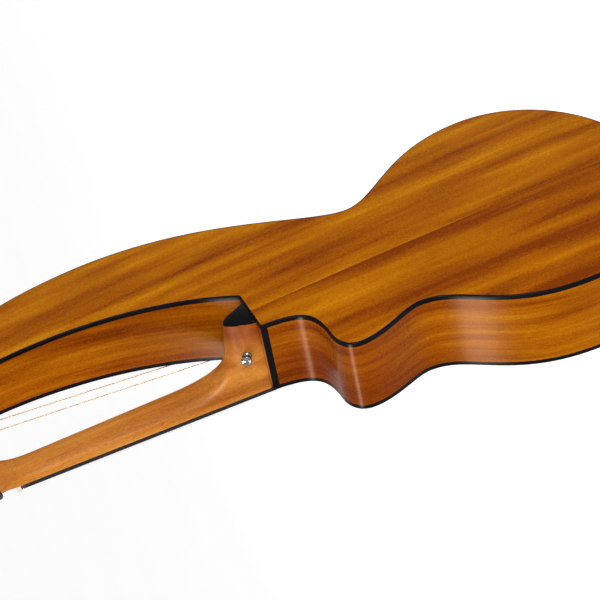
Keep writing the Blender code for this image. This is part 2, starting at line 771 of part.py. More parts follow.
def headstock_outline():
    """Half of a plain flared headstock, in the frame of its face."""
    neck_half = NUT_WIDTH / 2
    wide = HEADSTOCK_HALF_WIDTH
    top = HEADSTOCK_LENGTH
    right = bezier((neck_half, 0.0), UP, HEADSTOCK_FLARE * 0.4, (wide - HEADSTOCK_SPREAD,
                   HEADSTOCK_FLARE), UP - 12.0, HEADSTOCK_FLARE * 0.35, HEADSTOCK_CURVE_COUNT)
    right += [Vector((wide, top - HEADSTOCK_CROWN))]
    right += bezier((wide, top - HEADSTOCK_CROWN), UP + 10.0, HEADSTOCK_CROWN / 2, (0.0, top), LEFT,
                    wide / 2, HEADSTOCK_CURVE_COUNT)[1:]
    left = [Vector((-p.x, p.y)) for p in reversed(right[:-1])]
    return right + left


def post_places():
    """Neck tuner posts on the headstock face, from low E to high E, with their outward side."""
    places = []
    for side in (-1, 1):
        rows = range(3) if side < 0 else reversed(range(3))
        for row in rows:
            across = side * (HEADSTOCK_HALF_WIDTH - POST_EDGE_DISTANCE)
            places.append(((across, HEADSTOCK_POST_FIRST + row * HEADSTOCK_POST_SPACING),
                           (float(side), 0.0)))
    return places


def arm_post_places():
    """Bass tuner posts on the arm head face, from the first to the last bass string."""
    step = Vector(ARM_POST_STEP)
    outward = Vector((-step.y, step.x)).normalized()
    count = len(BASS_STRING_DIAMETERS)
    first = Vector(ARM_POST_FIRST)
    return [(tuple(first + step * (count - 1 - k)), tuple(outward)) for k in range(count)]


def build_neck():
    head = head_frame(HEADSTOCK_START, HEADSTOCK_TILT)
    shape = neck_body()
    point, normal = heel_plane(HEEL_CAP_THICKNESS + CLEAR)
    keep_side(shape, point, normal)
    neck = shade(object_from_bmesh("neck", shape, MAHOGANY_NECK))

    slab = prism("headstock_slab", (headstock_outline(),), 0, HEADSTOCK_THICKNESS, None,
                 collection=GUIDES)
    mend = Matrix(((1, 0, 0, 0), (0, 0, 1, 0), (0, 1, 0, 0), (0, 0, 0, 1)))
    slab.data.transform(scaled_matrix(head) @ mend)
    slab.data.flip_normals()
    hide_cutter(slab)
    joins = make_collection("neck_joins")
    joins.objects.link(slab)
    join_with(neck, joins)

    cuts = make_collection("neck_cuts")
    for (across, up), outward in post_places():
        drill("post_drill", HEADSTOCK_THICKNESS, POST_HOLE_RADIUS,
              head @ Matrix.Translation((across, up, 0)), cuts)
    rod = box("rod_channel", (-TRUSS_ROD_RADIUS - CLEAR, -OVERRUN, -TRUSS_ROD_TOP_GAP
              - TRUSS_ROD_LENGTH - 2 * CLEAR), (TRUSS_ROD_RADIUS + CLEAR,
              2 * TRUSS_ROD_RADIUS + 2 * CLEAR, -TRUSS_ROD_TOP_GAP), None, cuts)
    hide_cutter(rod)
    seat_radius = STRAP_BASE_RADIUS + STRAP_SEAT_MARGIN
    seat = turned("strap_seat", ((0, STRAP_SEAT_DEPTH), (seat_radius, STRAP_SEAT_DEPTH),
                  (seat_radius, 0), (0, 0)), heel_strap_frame(), None, ROUND_SIDES, cuts)
    hide_cutter(seat)
    cut_with(neck, cuts)

    cap_shape = neck_body()
    point, normal = heel_plane(HEEL_CAP_THICKNESS)
    keep_side(cap_shape, point, -normal)
    point, normal = heel_plane(0.0)
    keep_side(cap_shape, point, normal)
    object_from_bmesh("heel_cap", cap_shape, BLACK)

    turned("truss_rod", ((0, 0), (TRUSS_ROD_RADIUS, 0), (TRUSS_ROD_RADIUS, -TRUSS_ROD_LENGTH),
           (0, -TRUSS_ROD_LENGTH)), Matrix.Translation((0, TRUSS_ROD_RADIUS + CLEAR,
           -TRUSS_ROD_TOP_GAP - CLEAR)), STEEL, HOLE_SIDES)


def scaled_matrix(matrix):
    """A matrix whose translation is turned from millimetres into metres."""
    result = matrix.copy()
    for row in range(3):
        result[row][3] = matrix[row][3] * MM
    return result


def heel_strap_frame():
    """Frame of the heel strap button: its seat faces the treble side and a little up."""
    place = (HEEL_STRAP_SEAT, HEEL_STRAP_DEPTH, at_station(HEEL_STRAP_STATION))
    return Matrix.Translation(place) @ Matrix.Rotation(math.pi / 2 - HEEL_STRAP_TURN, 4, 'Y')


# Fingerboard and nut
def build_fingerboard():
    """The board with its frets, as one loft of crowned sections."""
    length = fret_distance(FRET_COUNT) + BOARD_TONGUE
    stations = [(CLEAR, 0.0)]
    for number in range(1, FRET_COUNT + 1):
        middle = fret_distance(number)
        stations += [(middle - FRET_WIDTH / 2, 0.0), (middle - FRET_WIDTH / 4, FRET_HEIGHT),
                     (middle + FRET_WIDTH / 4, FRET_HEIGHT), (middle + FRET_WIDTH / 2, 0.0)]
    stations.append((length, 0.0))
    sections = []
    for distance, rise in stations:
        half = board_half_width(-distance)
        edge = BOARD_THICKNESS - BOARD_CROWN + rise
        top = BOARD_THICKNESS + rise
        middle = BOARD_THICKNESS - BOARD_CROWN / 4 + rise
        sections.append([Vector((x, -y, -distance)) for x, y in (
            (-half, CLEAR), (half, CLEAR), (half, edge), (half / 2, middle), (0, top),
            (-half / 2, middle), (-half, edge))])
    object_from_bmesh("fingerboard", loft(sections), EBONY)
    half = NUT_WIDTH / 2 - CLEAR
    box("nut", (-half, -NUT_HEIGHT, 0), (half, -CLEAR, NUT_THICKNESS - CLEAR), BONE)


# Bridge
def bass_string_x(number, z):
    """Sideways place of a bass string at a height: the strings fan out towards the arm."""
    slope = BASS_STRING_SLOPE + BASS_STRING_FAN * number
    return -(BASS_STRING_FIRST + BASS_STRING_SPACING * number) - (z - SADDLE_Z) * slope


def build_bridge():
    low = BRIDGE_TOP_Z - BRIDGE_DEPTH
    middle = (BRIDGE_TOP_Z + low) / 2
    wing = BRIDGE_WING
    tip = BRIDGE_TIP_HALF
    outline = [Vector(p) for p in (
        (-BRIDGE_BASS, middle + tip), (-BRIDGE_BASS + wing, BRIDGE_TOP_Z),
        (BRIDGE_TREBLE - wing, BRIDGE_TOP_Z), (BRIDGE_TREBLE, middle + tip),
        (BRIDGE_TREBLE, middle - tip), (BRIDGE_TREBLE - wing, low),
        (-BRIDGE_BASS + wing, low), (-BRIDGE_BASS, middle - tip))]
    bridge = prism("bridge", (outline,), -CLEAR - BRIDGE_HEIGHT, -CLEAR, EBONY)
    edge = bridge.modifiers.new("soft edge", 'BEVEL')
    edge.width = BRIDGE_EDGE * MM
    edge.segments = 1
    edge.limit_method = 'ANGLE'
    cuts = make_collection("bridge_cuts")
    floor = CLEAR + BRIDGE_HEIGHT - SADDLE_SLOT_DEPTH
    half = SADDLE_THICKNESS / 2
    last = len(BASS_STRING_DIAMETERS) - 1
    pieces = (("saddle", -SADDLE_HALF_LENGTH, SADDLE_HALF_LENGTH),
              ("sub_bass_saddle", bass_string_x(last, SADDLE_Z) - BASS_SADDLE_MARGIN,
               bass_string_x(0, SADDLE_Z) + BASS_SADDLE_MARGIN))
    for name, left, right in pieces:
        slot = box(name + "_slot", (left - CLEAR, -floor - BRIDGE_HEIGHT, SADDLE_Z - half - CLEAR),
                   (right + CLEAR, -floor, SADDLE_Z + half + CLEAR), None, cuts)
        hide_cutter(slot)
        box(name, (left, -SADDLE_TOP, SADDLE_Z - half),
            (right, -floor - CLEAR, SADDLE_Z + half), BONE)
    cut_with(bridge, cuts)


# Arm head
def arm_head_rows():
    """Rows of (height, inner edge, outer edge): the outer edge slants along the posts."""
    slant = [Vector((-place[0] - outward[0] * ARM_POST_EDGE, ARM_NUT_RISE + math.cos(ARM_HEAD_TILT)
                     * (place[1] + outward[1] * ARM_POST_EDGE)))
             for place, outward in reversed(arm_post_places())]
    run = slant[-1] - slant[0]
    heading = math.degrees(math.atan2(run.y, run.x))
    shoulder = bezier((ARM_END_OUTER, CLEAR), UP + ARM_SHOULDER_LEAN, ARM_SHOULDER_LOW,
                      slant[0], heading, ARM_SHOULDER_HIGH, ARM_SHOULDER_COUNT)
    top = ARM_HEAD_LENGTH
    outer = [(p.y, p.x) for p in shoulder]
    outer += [(slant[-1].y, slant[-1].x), (top, ARM_HEAD_INNER + ARM_TIP_IN + ARM_TIP_WIDTH)]
    extra = (ARM_HEAD_RAMP, (slant[0].y + slant[-1].y) / 2, top - ARM_TIP_HEIGHT,
             top - ARM_TIP_HEIGHT / 2)
    rows = []
    for height in sorted([row[0] for row in outer] + list(extra)):
        foot = max(0.0, 1 - height / ARM_SHOULDER_HEIGHT) ** 3
        tip = max(0.0, 1 - (top - height) / ARM_TIP_HEIGHT) ** 2
        inner = ARM_HEAD_INNER + (ARM_END_INNER - ARM_HEAD_INNER) * foot + ARM_TIP_IN * tip
        rows.append((height, -inner, -between(outer, height)))
    return rows


def between(table, value):
    """Linear value between the rows of a short table."""
    for (a, first), (b, last) in zip(table[:-1], table[1:]):
        if value <= b:
            return first + (last - first) * max(0.0, value - a) / (b - a)
    return table[-1][1]


def arm_head_depths(z):
    """Front and back depth of the arm head at a height."""
    front = max(0.0, (z - ARM_NUT_Z) * math.tan(ARM_HEAD_TILT))
    slab = ARM_HEAD_THICKNESS / math.cos(ARM_HEAD_TILT)
    flat_back = (z - ARM_NUT_Z) * math.tan(ARM_HEAD_TILT) + slab
    t = min(1.0, (z - ARM_END_Z) / ARM_HEAD_RAMP)
    arm_back = back_depth(-(ARM_END_INNER + ARM_END_OUTER) / 2, ARM_END_Z) - ARM_BACK_STEP
    fade = (1 - t) ** 2 * (1 + 1.2 * t)
    return front, flat_back + (arm_back - slab + (ARM_NUT_Z - ARM_END_Z)
                               * math.tan(ARM_HEAD_TILT)) * fade


def build_arm_head():
    sections = []
    for height, inner, outer in arm_head_rows():
        z = ARM_END_Z + height
        front, back = arm_head_depths(z)
        radius = min(ARM_HEAD_EDGE, (inner - outer) / 3, (back - front) / 3)
        section = []
        for x_edge, y_edge, sx, sy in ((inner, front, -1, 1), (inner, back, -1, -1),
                                       (outer, back, 1, -1), (outer, front, 1, 1)):
            soft = radius if sy < 0 else ARM_HEAD_FRONT_EDGE
            a = (x_edge, y_edge + sy * soft)
            b = (x_edge + sx * soft * 0.3, y_edge + sy * soft * 0.3)
            c = (x_edge + sx * soft, y_edge)
            section += (a, b, c) if sx * sy > 0 else (c, b, a)
        sections.append([Vector((x, y, z)) for x, y in section])
    head = shade(object_from_bmesh("arm_head", loft(sections), MAHOGANY))
    cuts = make_collection("arm_head_cuts")
    frame = head_frame(ARM_NUT_Z, ARM_HEAD_TILT)
    for (across, up), outward in arm_post_places():
        drill("arm_post_drill", ARM_HEAD_THICKNESS, POST_HOLE_RADIUS,
              frame @ Matrix.Translation((across, up, 0)), cuts)
    cut_with(head, cuts)
    last = len(BASS_STRING_DIAMETERS) - 1
    box("sub_bass_nut", (bass_string_x(last, ARM_NUT_Z) - ARM_NUT_MARGIN, -ARM_NUT_HEIGHT,
        ARM_NUT_Z - ARM_NUT_THICKNESS), (bass_string_x(0, ARM_NUT_Z) + ARM_NUT_MARGIN, -CLEAR,
        ARM_NUT_Z - CLEAR), BONE)


# Tuners
def tuner_frame(head, thickness, place, outward):
    """Frame of one tuner on the back of a head: x outward, z along the post to the back."""
    out = Vector((outward[0], outward[1], 0))
    side = Vector((0, 0, 1)).cross(out)
    local = Matrix.Identity(4)
    for row in range(3):
        local[row][0] = out[row]
        local[row][1] = side[row]
        local[row][2] = (0, 0, 1)[row]
    return head @ Matrix.Translation((place[0], place[1], thickness)) @ local


GEAR_LOW = PLATE_THICKNESS + 2 * CLEAR + WORM_RADIUS - GEAR_THICKNESS / 2
WORM_HEIGHT = GEAR_LOW + GEAR_THICKNESS / 2
WORM_OFFSET = GEAR_RADIUS + WORM_RADIUS + CLEAR


def worm_side(frame):
    """The worm lies on the nut side of its gear."""
    return -1.0 if (frame.to_3x3() @ Vector((0, 1, 0))).z > 0 else 1.0


def build_post(name, frame, thickness):
    """String post through the head, with the gear wheel on its back end."""
    front = -thickness - POST_STAND
    gear_top = GEAR_LOW + GEAR_THICKNESS
    groove = front + POST_GROOVE_PLACE
    profile = ((0, gear_top + GEAR_SCREW_HEIGHT),
               (GEAR_SCREW_RADIUS, gear_top + GEAR_SCREW_HEIGHT), (GEAR_SCREW_RADIUS, gear_top),
               (GEAR_RADIUS, gear_top), (GEAR_RADIUS, GEAR_LOW), (POST_RADIUS, GEAR_LOW),
               (POST_RADIUS, groove + POST_GROOVE_HALF), (POST_GROOVE_RADIUS, groove),
               (POST_RADIUS, groove - POST_GROOVE_HALF), (POST_RADIUS, front + POST_TIP_EDGE),
               (POST_RADIUS - POST_TIP_EDGE, front), (0, front))
    turned(name, profile, frame, NICKEL, HOLE_SIDES)


def build_button(name, frame):
    """Worm, shaft and flattened button, turned about the shaft."""
    side = worm_side(frame)
    axis = frame @ Matrix.Translation((0, side * WORM_OFFSET, WORM_HEIGHT))
    axis = axis @ Matrix.Rotation(math.radians(90), 4, 'Y')
    end = BUTTON_START + BUTTON_LENGTH
    inner = -(WORM_HALF_LENGTH + CLEAR + LUG_THICKNESS + 1.0)
    body = ((0, end), (BUTTON_RADIUS * 0.62, end), (BUTTON_RADIUS, end - 0.2 * BUTTON_LENGTH),
            (BUTTON_RADIUS * 0.92, end - 0.55 * BUTTON_LENGTH),
            (BUTTON_RADIUS * 0.4, BUTTON_START), (SHAFT_RADIUS, BUTTON_START - 2),
            (SHAFT_RADIUS, WORM_HALF_LENGTH), (WORM_RADIUS, WORM_HALF_LENGTH),
            (WORM_RADIUS, -WORM_HALF_LENGTH), (SHAFT_RADIUS, -WORM_HALF_LENGTH),
            (SHAFT_RADIUS, inner), (0, inner))
    round_one = turned(name, body, axis, None, HOLE_SIDES)
    evaluated = round_one.evaluated_get(bpy.context.evaluated_depsgraph_get())
    mesh = bpy.data.meshes.new_from_object(evaluated)
    for vert in mesh.vertices:
        if vert.co.z > (BUTTON_START - 1) * MM:
            vert.co.x *= BUTTON_FLATTENING
    place = round_one.matrix_world.copy()
    bpy.data.objects.remove(round_one)
    shade(add_object(name, mesh, BUTTON_BLACK)).matrix_world = place


def build_plate(name, head, thickness, places):
    """One plate carries a row of posts, with two bored lugs for each worm."""
    frames = [tuner_frame(head, thickness, place, outward) for place, outward in places]
    first = frames[0]
    inverse = first.inverted()
    rows = [(inverse @ frame).translation.y for frame in frames]
    low = min(rows) - PLATE_END
    high = max(rows) + PLATE_END
    plate = box(name, (-PLATE_INNER, low, CLEAR), (PLATE_OUTER, high, CLEAR + PLATE_THICKNESS),
                NICKEL, None, first)
    joins = make_collection(name + "_joins")
    cuts = make_collection(name + "_cuts")
    side = worm_side(first)
    for row in rows:
        worm = row + side * WORM_OFFSET
        for place in (-WORM_HALF_LENGTH - CLEAR - LUG_THICKNESS, WORM_HALF_LENGTH + CLEAR):
            lug = box("lug", (place, worm - LUG_HALF_WIDTH, CLEAR + PLATE_THICKNESS / 2),
                      (place + LUG_THICKNESS, worm + LUG_HALF_WIDTH, WORM_HEIGHT + LUG_HALF_WIDTH),
                      None, joins, first)
            hide_cutter(lug)
        reach = WORM_HALF_LENGTH + CLEAR + LUG_THICKNESS
        drill("bore", 2 * reach, SHAFT_RADIUS + CLEAR,
              first @ Matrix.Translation((-reach, worm, WORM_HEIGHT))
              @ Matrix.Rotation(math.radians(90), 4, 'Y'), cuts)
        drill("hole", PLATE_THICKNESS, POST_HOLE_RADIUS,
              first @ Matrix.Translation((0, row, 0)), cuts)
    join_with(plate, joins)
    cut_with(plate, cuts)


def build_tuners():
    head = head_frame(HEADSTOCK_START, HEADSTOCK_TILT)
    places = post_places()
    for index, (place, outward) in enumerate(places):
        frame = tuner_frame(head, HEADSTOCK_THICKNESS, place, outward)
        build_post(f"neck_post_{index + 1}", frame, HEADSTOCK_THICKNESS)
        build_button(f"neck_button_{index + 1}", frame)
    build_plate("tuner_plate_bass", head, HEADSTOCK_THICKNESS, places[:3])
    build_plate("tuner_plate_treble", head, HEADSTOCK_THICKNESS, places[3:])

    arm = head_frame(ARM_NUT_Z, ARM_HEAD_TILT)
    places = arm_post_places()
    for index, (place, outward) in enumerate(places):
        frame = tuner_frame(arm, ARM_HEAD_THICKNESS, place, outward)
        build_post(f"harp_post_{index + 1}", frame, ARM_HEAD_THICKNESS)
        build_button(f"harp_button_{index + 1}", frame)
    build_plate("harp_tuner_plate", arm, ARM_HEAD_THICKNESS, places)


# Strings
def post_contact(head, place, start_x, radius):
    """Where a string meets its post, on the side that faces the middle of its fan."""
    side = 1.0 if start_x > place[0] else -1.0
    reach = POST_RADIUS + radius + CLEAR
    return head @ Vector((place[0] + side * reach, place[1], POST_GROOVE_PLACE - POST_STAND))


def build_strings():
    head = head_frame(HEADSTOCK_START, HEADSTOCK_TILT)
    count = len(NECK_STRING_DIAMETERS)
    for index, (place, outward) in enumerate(post_places()):
        share = index / (count - 1) - 0.5
        radius = NECK_STRING_DIAMETERS[index] / 2
        over_nut = -(NUT_HEIGHT + CLEAR + radius)
        over_saddle = -(SADDLE_TOP + CLEAR + radius)
        nut_x = share * NUT_STRING_SPAN
        saddle_x = share * SADDLE_STRING_SPAN
        half = SADDLE_THICKNESS / 2
        points = [(saddle_x, -(CLEAR * 2 + BRIDGE_HEIGHT + radius), SADDLE_Z - PIN_SETBACK),
                  (saddle_x, over_saddle, SADDLE_Z - half), (saddle_x, over_saddle, SADDLE_Z + half),
                  (nut_x, over_nut, 0), (nut_x, over_nut, NUT_THICKNESS)]
        points.append(post_contact(head, place, nut_x, radius))
        tube(f"string_{count - index}", points, radius, STEEL if radius < WOUND_FROM / 2 else BRONZE)

    arm = head_frame(ARM_NUT_Z, ARM_HEAD_TILT)
    for index, (place, outward) in enumerate(arm_post_places()):
        radius = BASS_STRING_DIAMETERS[index] / 2
        over_nut = -(ARM_NUT_HEIGHT + CLEAR + radius)
        over_saddle = -(SADDLE_TOP + CLEAR + radius)
        half = SADDLE_THICKNESS / 2
        saddle_x = bass_string_x(index, SADDLE_Z)
        nut_x = bass_string_x(index, ARM_NUT_Z)
        points = [(saddle_x, -(CLEAR * 2 + BRIDGE_HEIGHT + radius), SADDLE_Z - PIN_SETBACK),
                  (saddle_x, over_saddle, SADDLE_Z - half), (saddle_x, over_saddle, SADDLE_Z + half),
                  (bass_string_x(index, ARM_NUT_Z - ARM_NUT_THICKNESS), over_nut,
                   ARM_NUT_Z - ARM_NUT_THICKNESS), (nut_x, over_nut, ARM_NUT_Z)]
        points.append(post_contact(arm, place, nut_x, radius))
        tube(f"sub_bass_string_{index + 1}", points, radius, BRONZE)


# Strap buttons
def build_strap_buttons():
    rim = STRAP_HEIGHT - STRAP_CAP_EDGE
    profile = ((0, STRAP_HEIGHT), (STRAP_CAP_RADIUS - STRAP_CAP_EDGE, STRAP_HEIGHT),
               (STRAP_CAP_RADIUS, rim), (STRAP_CAP_RADIUS, rim - STRAP_CAP_RIM),
               (STRAP_WAIST_RADIUS, STRAP_HEIGHT - STRAP_WAIST_DROP),
               (STRAP_WAIST_RADIUS, STRAP_WAIST_LOW), (STRAP_BASE_RADIUS, STRAP_BASE_HEIGHT),
               (STRAP_BASE_RADIUS, CLEAR), (0, CLEAR))
    turned("strap_button_heel", profile, heel_strap_frame(), CHROME, ROUND_SIDES)
    place = Matrix.Translation((0, TAIL_STRAP_DEPTH, at_station(BODY_LENGTH) - CLEAR))
    turned("strap_button_tail", profile, place @ Matrix.Rotation(math.pi, 4, 'X'), CHROME,
           ROUND_SIDES)


clear_scene()
PARTS = make_collection(COLLECTION_NAME)
GUIDES = make_collection("guides")
SPRUCE = make_material("spruce_top", (0.62, 0.38, 0.16), 0.4)
MAHOGANY = make_material("mahogany", (0.42, 0.15, 0.025), 0.35)
MAHOGANY_NECK = make_material("neck_mahogany", (0.45, 0.19, 0.06), 0.4)
ROSEWOOD = make_material("rosewood", (0.09, 0.035, 0.02), 0.45)
EBONY = make_material("ebony", (0.012, 0.011, 0.011), 0.4)
BLACK = make_material("black_binding", (0.008, 0.008, 0.009), 0.3)
BONE = make_material("bone", (0.78, 0.74, 0.62), 0.4)
STEEL = make_material("string_steel", (0.62, 0.62, 0.62), 0.3, 1.0)
BRONZE = make_material("string_bronze", (0.66, 0.45, 0.26), 0.35, 1.0)
NICKEL = make_material("tuner_nickel", (0.68, 0.66, 0.62), 0.25, 1.0)
CHROME = make_material("chrome", (0.8, 0.8, 0.8), 0.1, 1.0)
BUTTON_BLACK = make_material("tuner_button", (0.02, 0.019, 0.018), 0.3)

build_soundboard()
build_back()
build_ribs()
build_bindings()
build_blocks()
build_bracing()
build_neck()
build_fingerboard()
build_bridge()
build_arm_head()
build_tuners()
build_strings()
build_strap_buttons()
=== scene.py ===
"""Looks of the harp guitar: fine surfaces, wood, bindings, fittings and strings around the solids.

The frame is the one of the solids: metres, +Z to the headstock, +Y out of the back, +X to
the treble side. Sizes here are named in millimetres and become metres in piece().
"""
import json
from math import acos, atan2, copysign, cos, degrees, pi, radians, sin, sqrt, tan

import bmesh
import bpy
from mathutils import Matrix, Vector

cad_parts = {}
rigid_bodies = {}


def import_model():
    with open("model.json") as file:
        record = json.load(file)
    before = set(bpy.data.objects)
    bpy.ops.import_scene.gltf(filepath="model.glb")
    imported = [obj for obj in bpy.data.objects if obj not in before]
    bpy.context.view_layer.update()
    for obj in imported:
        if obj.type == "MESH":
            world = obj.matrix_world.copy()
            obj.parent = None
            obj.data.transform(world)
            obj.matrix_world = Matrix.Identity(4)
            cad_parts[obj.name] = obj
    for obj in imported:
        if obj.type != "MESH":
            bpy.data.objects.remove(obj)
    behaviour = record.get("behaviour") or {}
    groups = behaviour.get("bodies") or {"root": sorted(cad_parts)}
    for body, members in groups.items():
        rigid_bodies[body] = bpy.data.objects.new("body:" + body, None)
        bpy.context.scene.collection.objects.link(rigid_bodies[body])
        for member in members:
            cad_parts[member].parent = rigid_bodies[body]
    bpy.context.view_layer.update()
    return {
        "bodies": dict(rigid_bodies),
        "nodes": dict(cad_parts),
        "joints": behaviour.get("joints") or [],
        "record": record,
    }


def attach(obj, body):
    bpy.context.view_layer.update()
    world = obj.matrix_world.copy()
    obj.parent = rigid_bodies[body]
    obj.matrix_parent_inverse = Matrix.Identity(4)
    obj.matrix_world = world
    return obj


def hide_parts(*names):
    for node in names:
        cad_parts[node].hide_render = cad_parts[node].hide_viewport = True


for item in list(bpy.data.objects):
    bpy.data.objects.remove(item, do_unlink=True)
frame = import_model()
BODY = "instrument"
NODES = frame["nodes"]
MM = 0.001

# Sizes shared with the solids, in millimetres
JOINT_Z, SADDLE_Z = -326.0, -650.5
ARM_END_Z, ARM_NUT_Z = 4.0, 34.0
BODY_LENGTH = 532.0
SCALE_LENGTH, FRET_COUNT = 648.0, 20
SOUNDHOLE_STATION, SOUNDHOLE_RADIUS = 173.0, 49.0
NUT_HEIGHT, ARM_NUT_HEIGHT = 8.6, 11.0
BOARD_HALF, BOARD_FLARE = 22.0, 5.5
BOARD_THICKNESS, BOARD_CROWN = 6.5, 0.9
BINDING_WIDTH, BINDING_HEIGHT, BINDING_EASE = 2.0, 6.0, 0.9
RIB_THICKNESS, PLATE_THICKNESS = 2.3, 2.8
CLEAR, HAIR = 0.3, 0.05
HEEL_DEPTH, HEEL_CAP = 101.0, 3.2
BACK_PEAK, BACK_TAPER, BACK_LONG, BACK_WIDE = 230.0, 0.0333, 22000.0, 6080.0
HEEL_TIP_STATION, HEEL_TIP_HALF = -31.5, 20.0
HEAD_TILT, HEAD_THICKNESS, HEAD_START, HEAD_LENGTH = radians(13.0), 15.0, 4.5, 186.0
ARM_TILT, ARM_THICKNESS, ARM_HEAD_LENGTH = radians(8.0), 22.0, 208.0
UP, DOWN, RIGHT, LEFT = 90.0, -90.0, 0.0, 180.0
CURVE_STEPS = 5


# Shape of the body, as in the solids but with finer steps
def fret_distance(number):
    return SCALE_LENGTH * (1.0 - 2.0 ** (-number / 12.0))


def station_z(station):
    return JOINT_Z - station


def back_depth(x, z):
    """The back deepens to the tail and is arched along and across."""
    station = JOINT_Z - z
    along = ((station - BACK_PEAK) ** 2 - BACK_PEAK ** 2) / BACK_LONG
    return HEEL_DEPTH + BACK_TAPER * station - along - x * x / BACK_WIDE


def board_half(z):
    return BOARD_HALF - BOARD_FLARE / fret_distance(12) * z


def bezier(start, heading_a, handle_a, end, heading_b, handle_b, steps):
    first, last = Vector(start), Vector(end)
    a, b = radians(heading_a), radians(heading_b)
    second = first + Vector((cos(a), sin(a))) * handle_a
    third = last - Vector((cos(b), sin(b))) * handle_b
    return [(1 - t) ** 3 * first + 3 * (1 - t) ** 2 * t * second + 3 * (1 - t) * t * t * third
            + t ** 3 * last for t in (k / steps for k in range(steps + 1))]


def chain(nodes, steps):
    """A path through nodes of x, z, heading, handle before and handle after."""
    points = []
    for a, b, count in zip(nodes[:-1], nodes[1:], steps):
        run = bezier(a[:2], a[2], a[4], b[:2], b[2], b[3], count * CURVE_STEPS)
        points.extend(run if not points else run[1:])
    return points


TREBLE = chain(((33.8, JOINT_Z, DOWN + 4.7, 0, 52.8), (98.3, station_z(64.4), RIGHT, 48.5, 5.2),
                (131.0, station_z(93.5), DOWN, 27.0, 31.6),
                (108.6, station_z(175.0), DOWN, 18.0, 56.0),
                (186.0, station_z(374.0), DOWN, 124.0, 92.0),
                (0.0, station_z(BODY_LENGTH), LEFT, 88.0, 0)), (9, 7, 6, 9, 9))
BASS = chain(((0.0, station_z(BODY_LENGTH), LEFT, 0, 90.6),
              (-193.0, station_z(368.0), UP, 95.5, 101.0),
              (-109.5, station_z(179.0), UP, 42.0, 52.3),
              (-232.0, station_z(-169.5), UP, 183.0, 80.0),
              (-205.0, ARM_END_Z, UP - 14.0, 55.0, 0)), (9, 9, 12, 6))
ARM = chain(((-34.5, JOINT_Z, LEFT - 51.2, 0, 10.3), (-117.4, station_z(-275.0), UP, 164.0, 25.0),
             (-112.5, ARM_END_Z, UP - 14.0, 16.0, 0)), (11, 3))
OUTLINE = TREBLE + BASS[1:] + list(reversed(ARM))


def inset(loop, distance):
    if not distance:
        return loop
    result = []
    for index, point in enumerate(loop):
        before = (point - loop[index - 1]).normalized()
        after = (loop[(index + 1) % len(loop)] - point).normalized()
        left = Vector((before.y, -before.x))
        inward = (left + Vector((after.y, -after.x))).normalized()
        result.append(point + inward * (distance / inward.dot(left)))
    return result


def cut_path(points, length):
    """A path without its first stretch."""
    points = list(points)
    while True:
        span = (points[1] - points[0]).length
        if span > length:
            return [points[0].lerp(points[1], length / span)] + points[1:]
        length -= span
        points = points[1:]


def trimmed(path, start, end):
    return cut_path(cut_path(path, start)[::-1], end)[::-1]


def path_length(path):
    return sum((b - a).length for a, b in zip(path[:-1], path[1:]))


def between(table, value):
    for (a, first), (b, last) in zip(table[:-1], table[1:]):
        if value <= b:
            return first + (last - first) * max(0.0, value - a) / (b - a)
    return table[-1][1]


# Mesh helpers: shapes are bmeshes in millimetres
def add_object(name, data):
    item = bpy.data.objects.new(name, data)
    bpy.context.scene.collection.objects.link(item)
    return item


def add_mesh(name, shape):
    """Turn a shape into a mesh whose faces look outward, and free the shape."""
    bmesh.ops.recalc_face_normals(shape, faces=shape.faces)
    mesh = bpy.data.meshes.new(name)
    shape.to_mesh(mesh)
    shape.free()
    return mesh


def piece(name, shape, material, body=BODY, stands_for=(), angle=35.0):
    """Make an object in metres that rides on a body, and hide the solids it stands for."""
    bmesh.ops.scale(shape, vec=(MM, MM, MM), verts=shape.verts)
    mesh = add_mesh(name, shape)
    mesh.shade_smooth()
    mesh.set_sharp_from_angle(angle=radians(angle))
    mesh.materials.append(material)
    item = add_object(name, mesh)
    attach(item, body)
    if stands_for:
        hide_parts(*stands_for)


def rings(loops, closed_loop=True, closed_rings=False, shape=None):
    """A skin over loops of points, capped unless it closes on itself or its loops are open."""
    shape = shape or bmesh.new()
    made = [[shape.verts.new(point) for point in loop] for loop in loops]
    pairs = list(zip(made[:-1], made[1:])) + ([(made[-1], made[0])] if closed_rings else [])
    count = len(made[0])
    for low, high in pairs:
        for index in range(count if closed_loop else count - 1):
            after = (index + 1) % count
            shape.faces.new((low[index], low[after], high[after], high[index]))
    if closed_loop and not closed_rings:
        shape.faces.new(made[0])
        shape.faces.new(made[-1])
    return shape


def turned(profile, sides, matrix, shape=None, squeeze=None, twist=None):
    """A profile of (radius, height) turned about Z, then placed by a matrix."""
    loops = []
    for radius, height in profile:
        loop = []
        for k in range(sides):
            angle = 2 * pi * k / sides
            r = twist(angle, height, radius) if twist else max(radius, 1e-3)
            x = r * cos(angle) * (squeeze(height) if squeeze else 1.0)
            loop.append(matrix @ Vector((x, r * sin(angle), height)))
        loops.append(loop)
    return rings(loops, shape=shape)


def corner(radius, steps):
    """A round corner as pairs of inset and drop, from the side to the top."""
    turns = [pi / 2 * k / steps for k in range(steps + 1)]
    return [(radius * (1 - cos(a)), radius * (1 - sin(a))) for a in turns]


def slab(outline, low, high, soft, matrix, shape=None, steps=3):
    """A plate from a closed outline, between two heights along Z, with softened top edges."""
    levels = [(0.0, low)]
    for distance, drop in corner(soft, steps) if soft else ((0.0, 0.0),):
        levels.append((distance, high - drop))
    return rings([[matrix @ Vector((p.x, p.y, height)) for p in inset(outline, distance)]
                  for distance, height in levels], shape=shape)


def circle(radius, sides, centre=(0.0, 0.0)):
    """A clockwise circle."""
    turns = [-2 * pi * k / sides for k in range(sides)]
    return [Vector((centre[0] + radius * cos(a), centre[1] + radius * sin(a))) for a in turns]


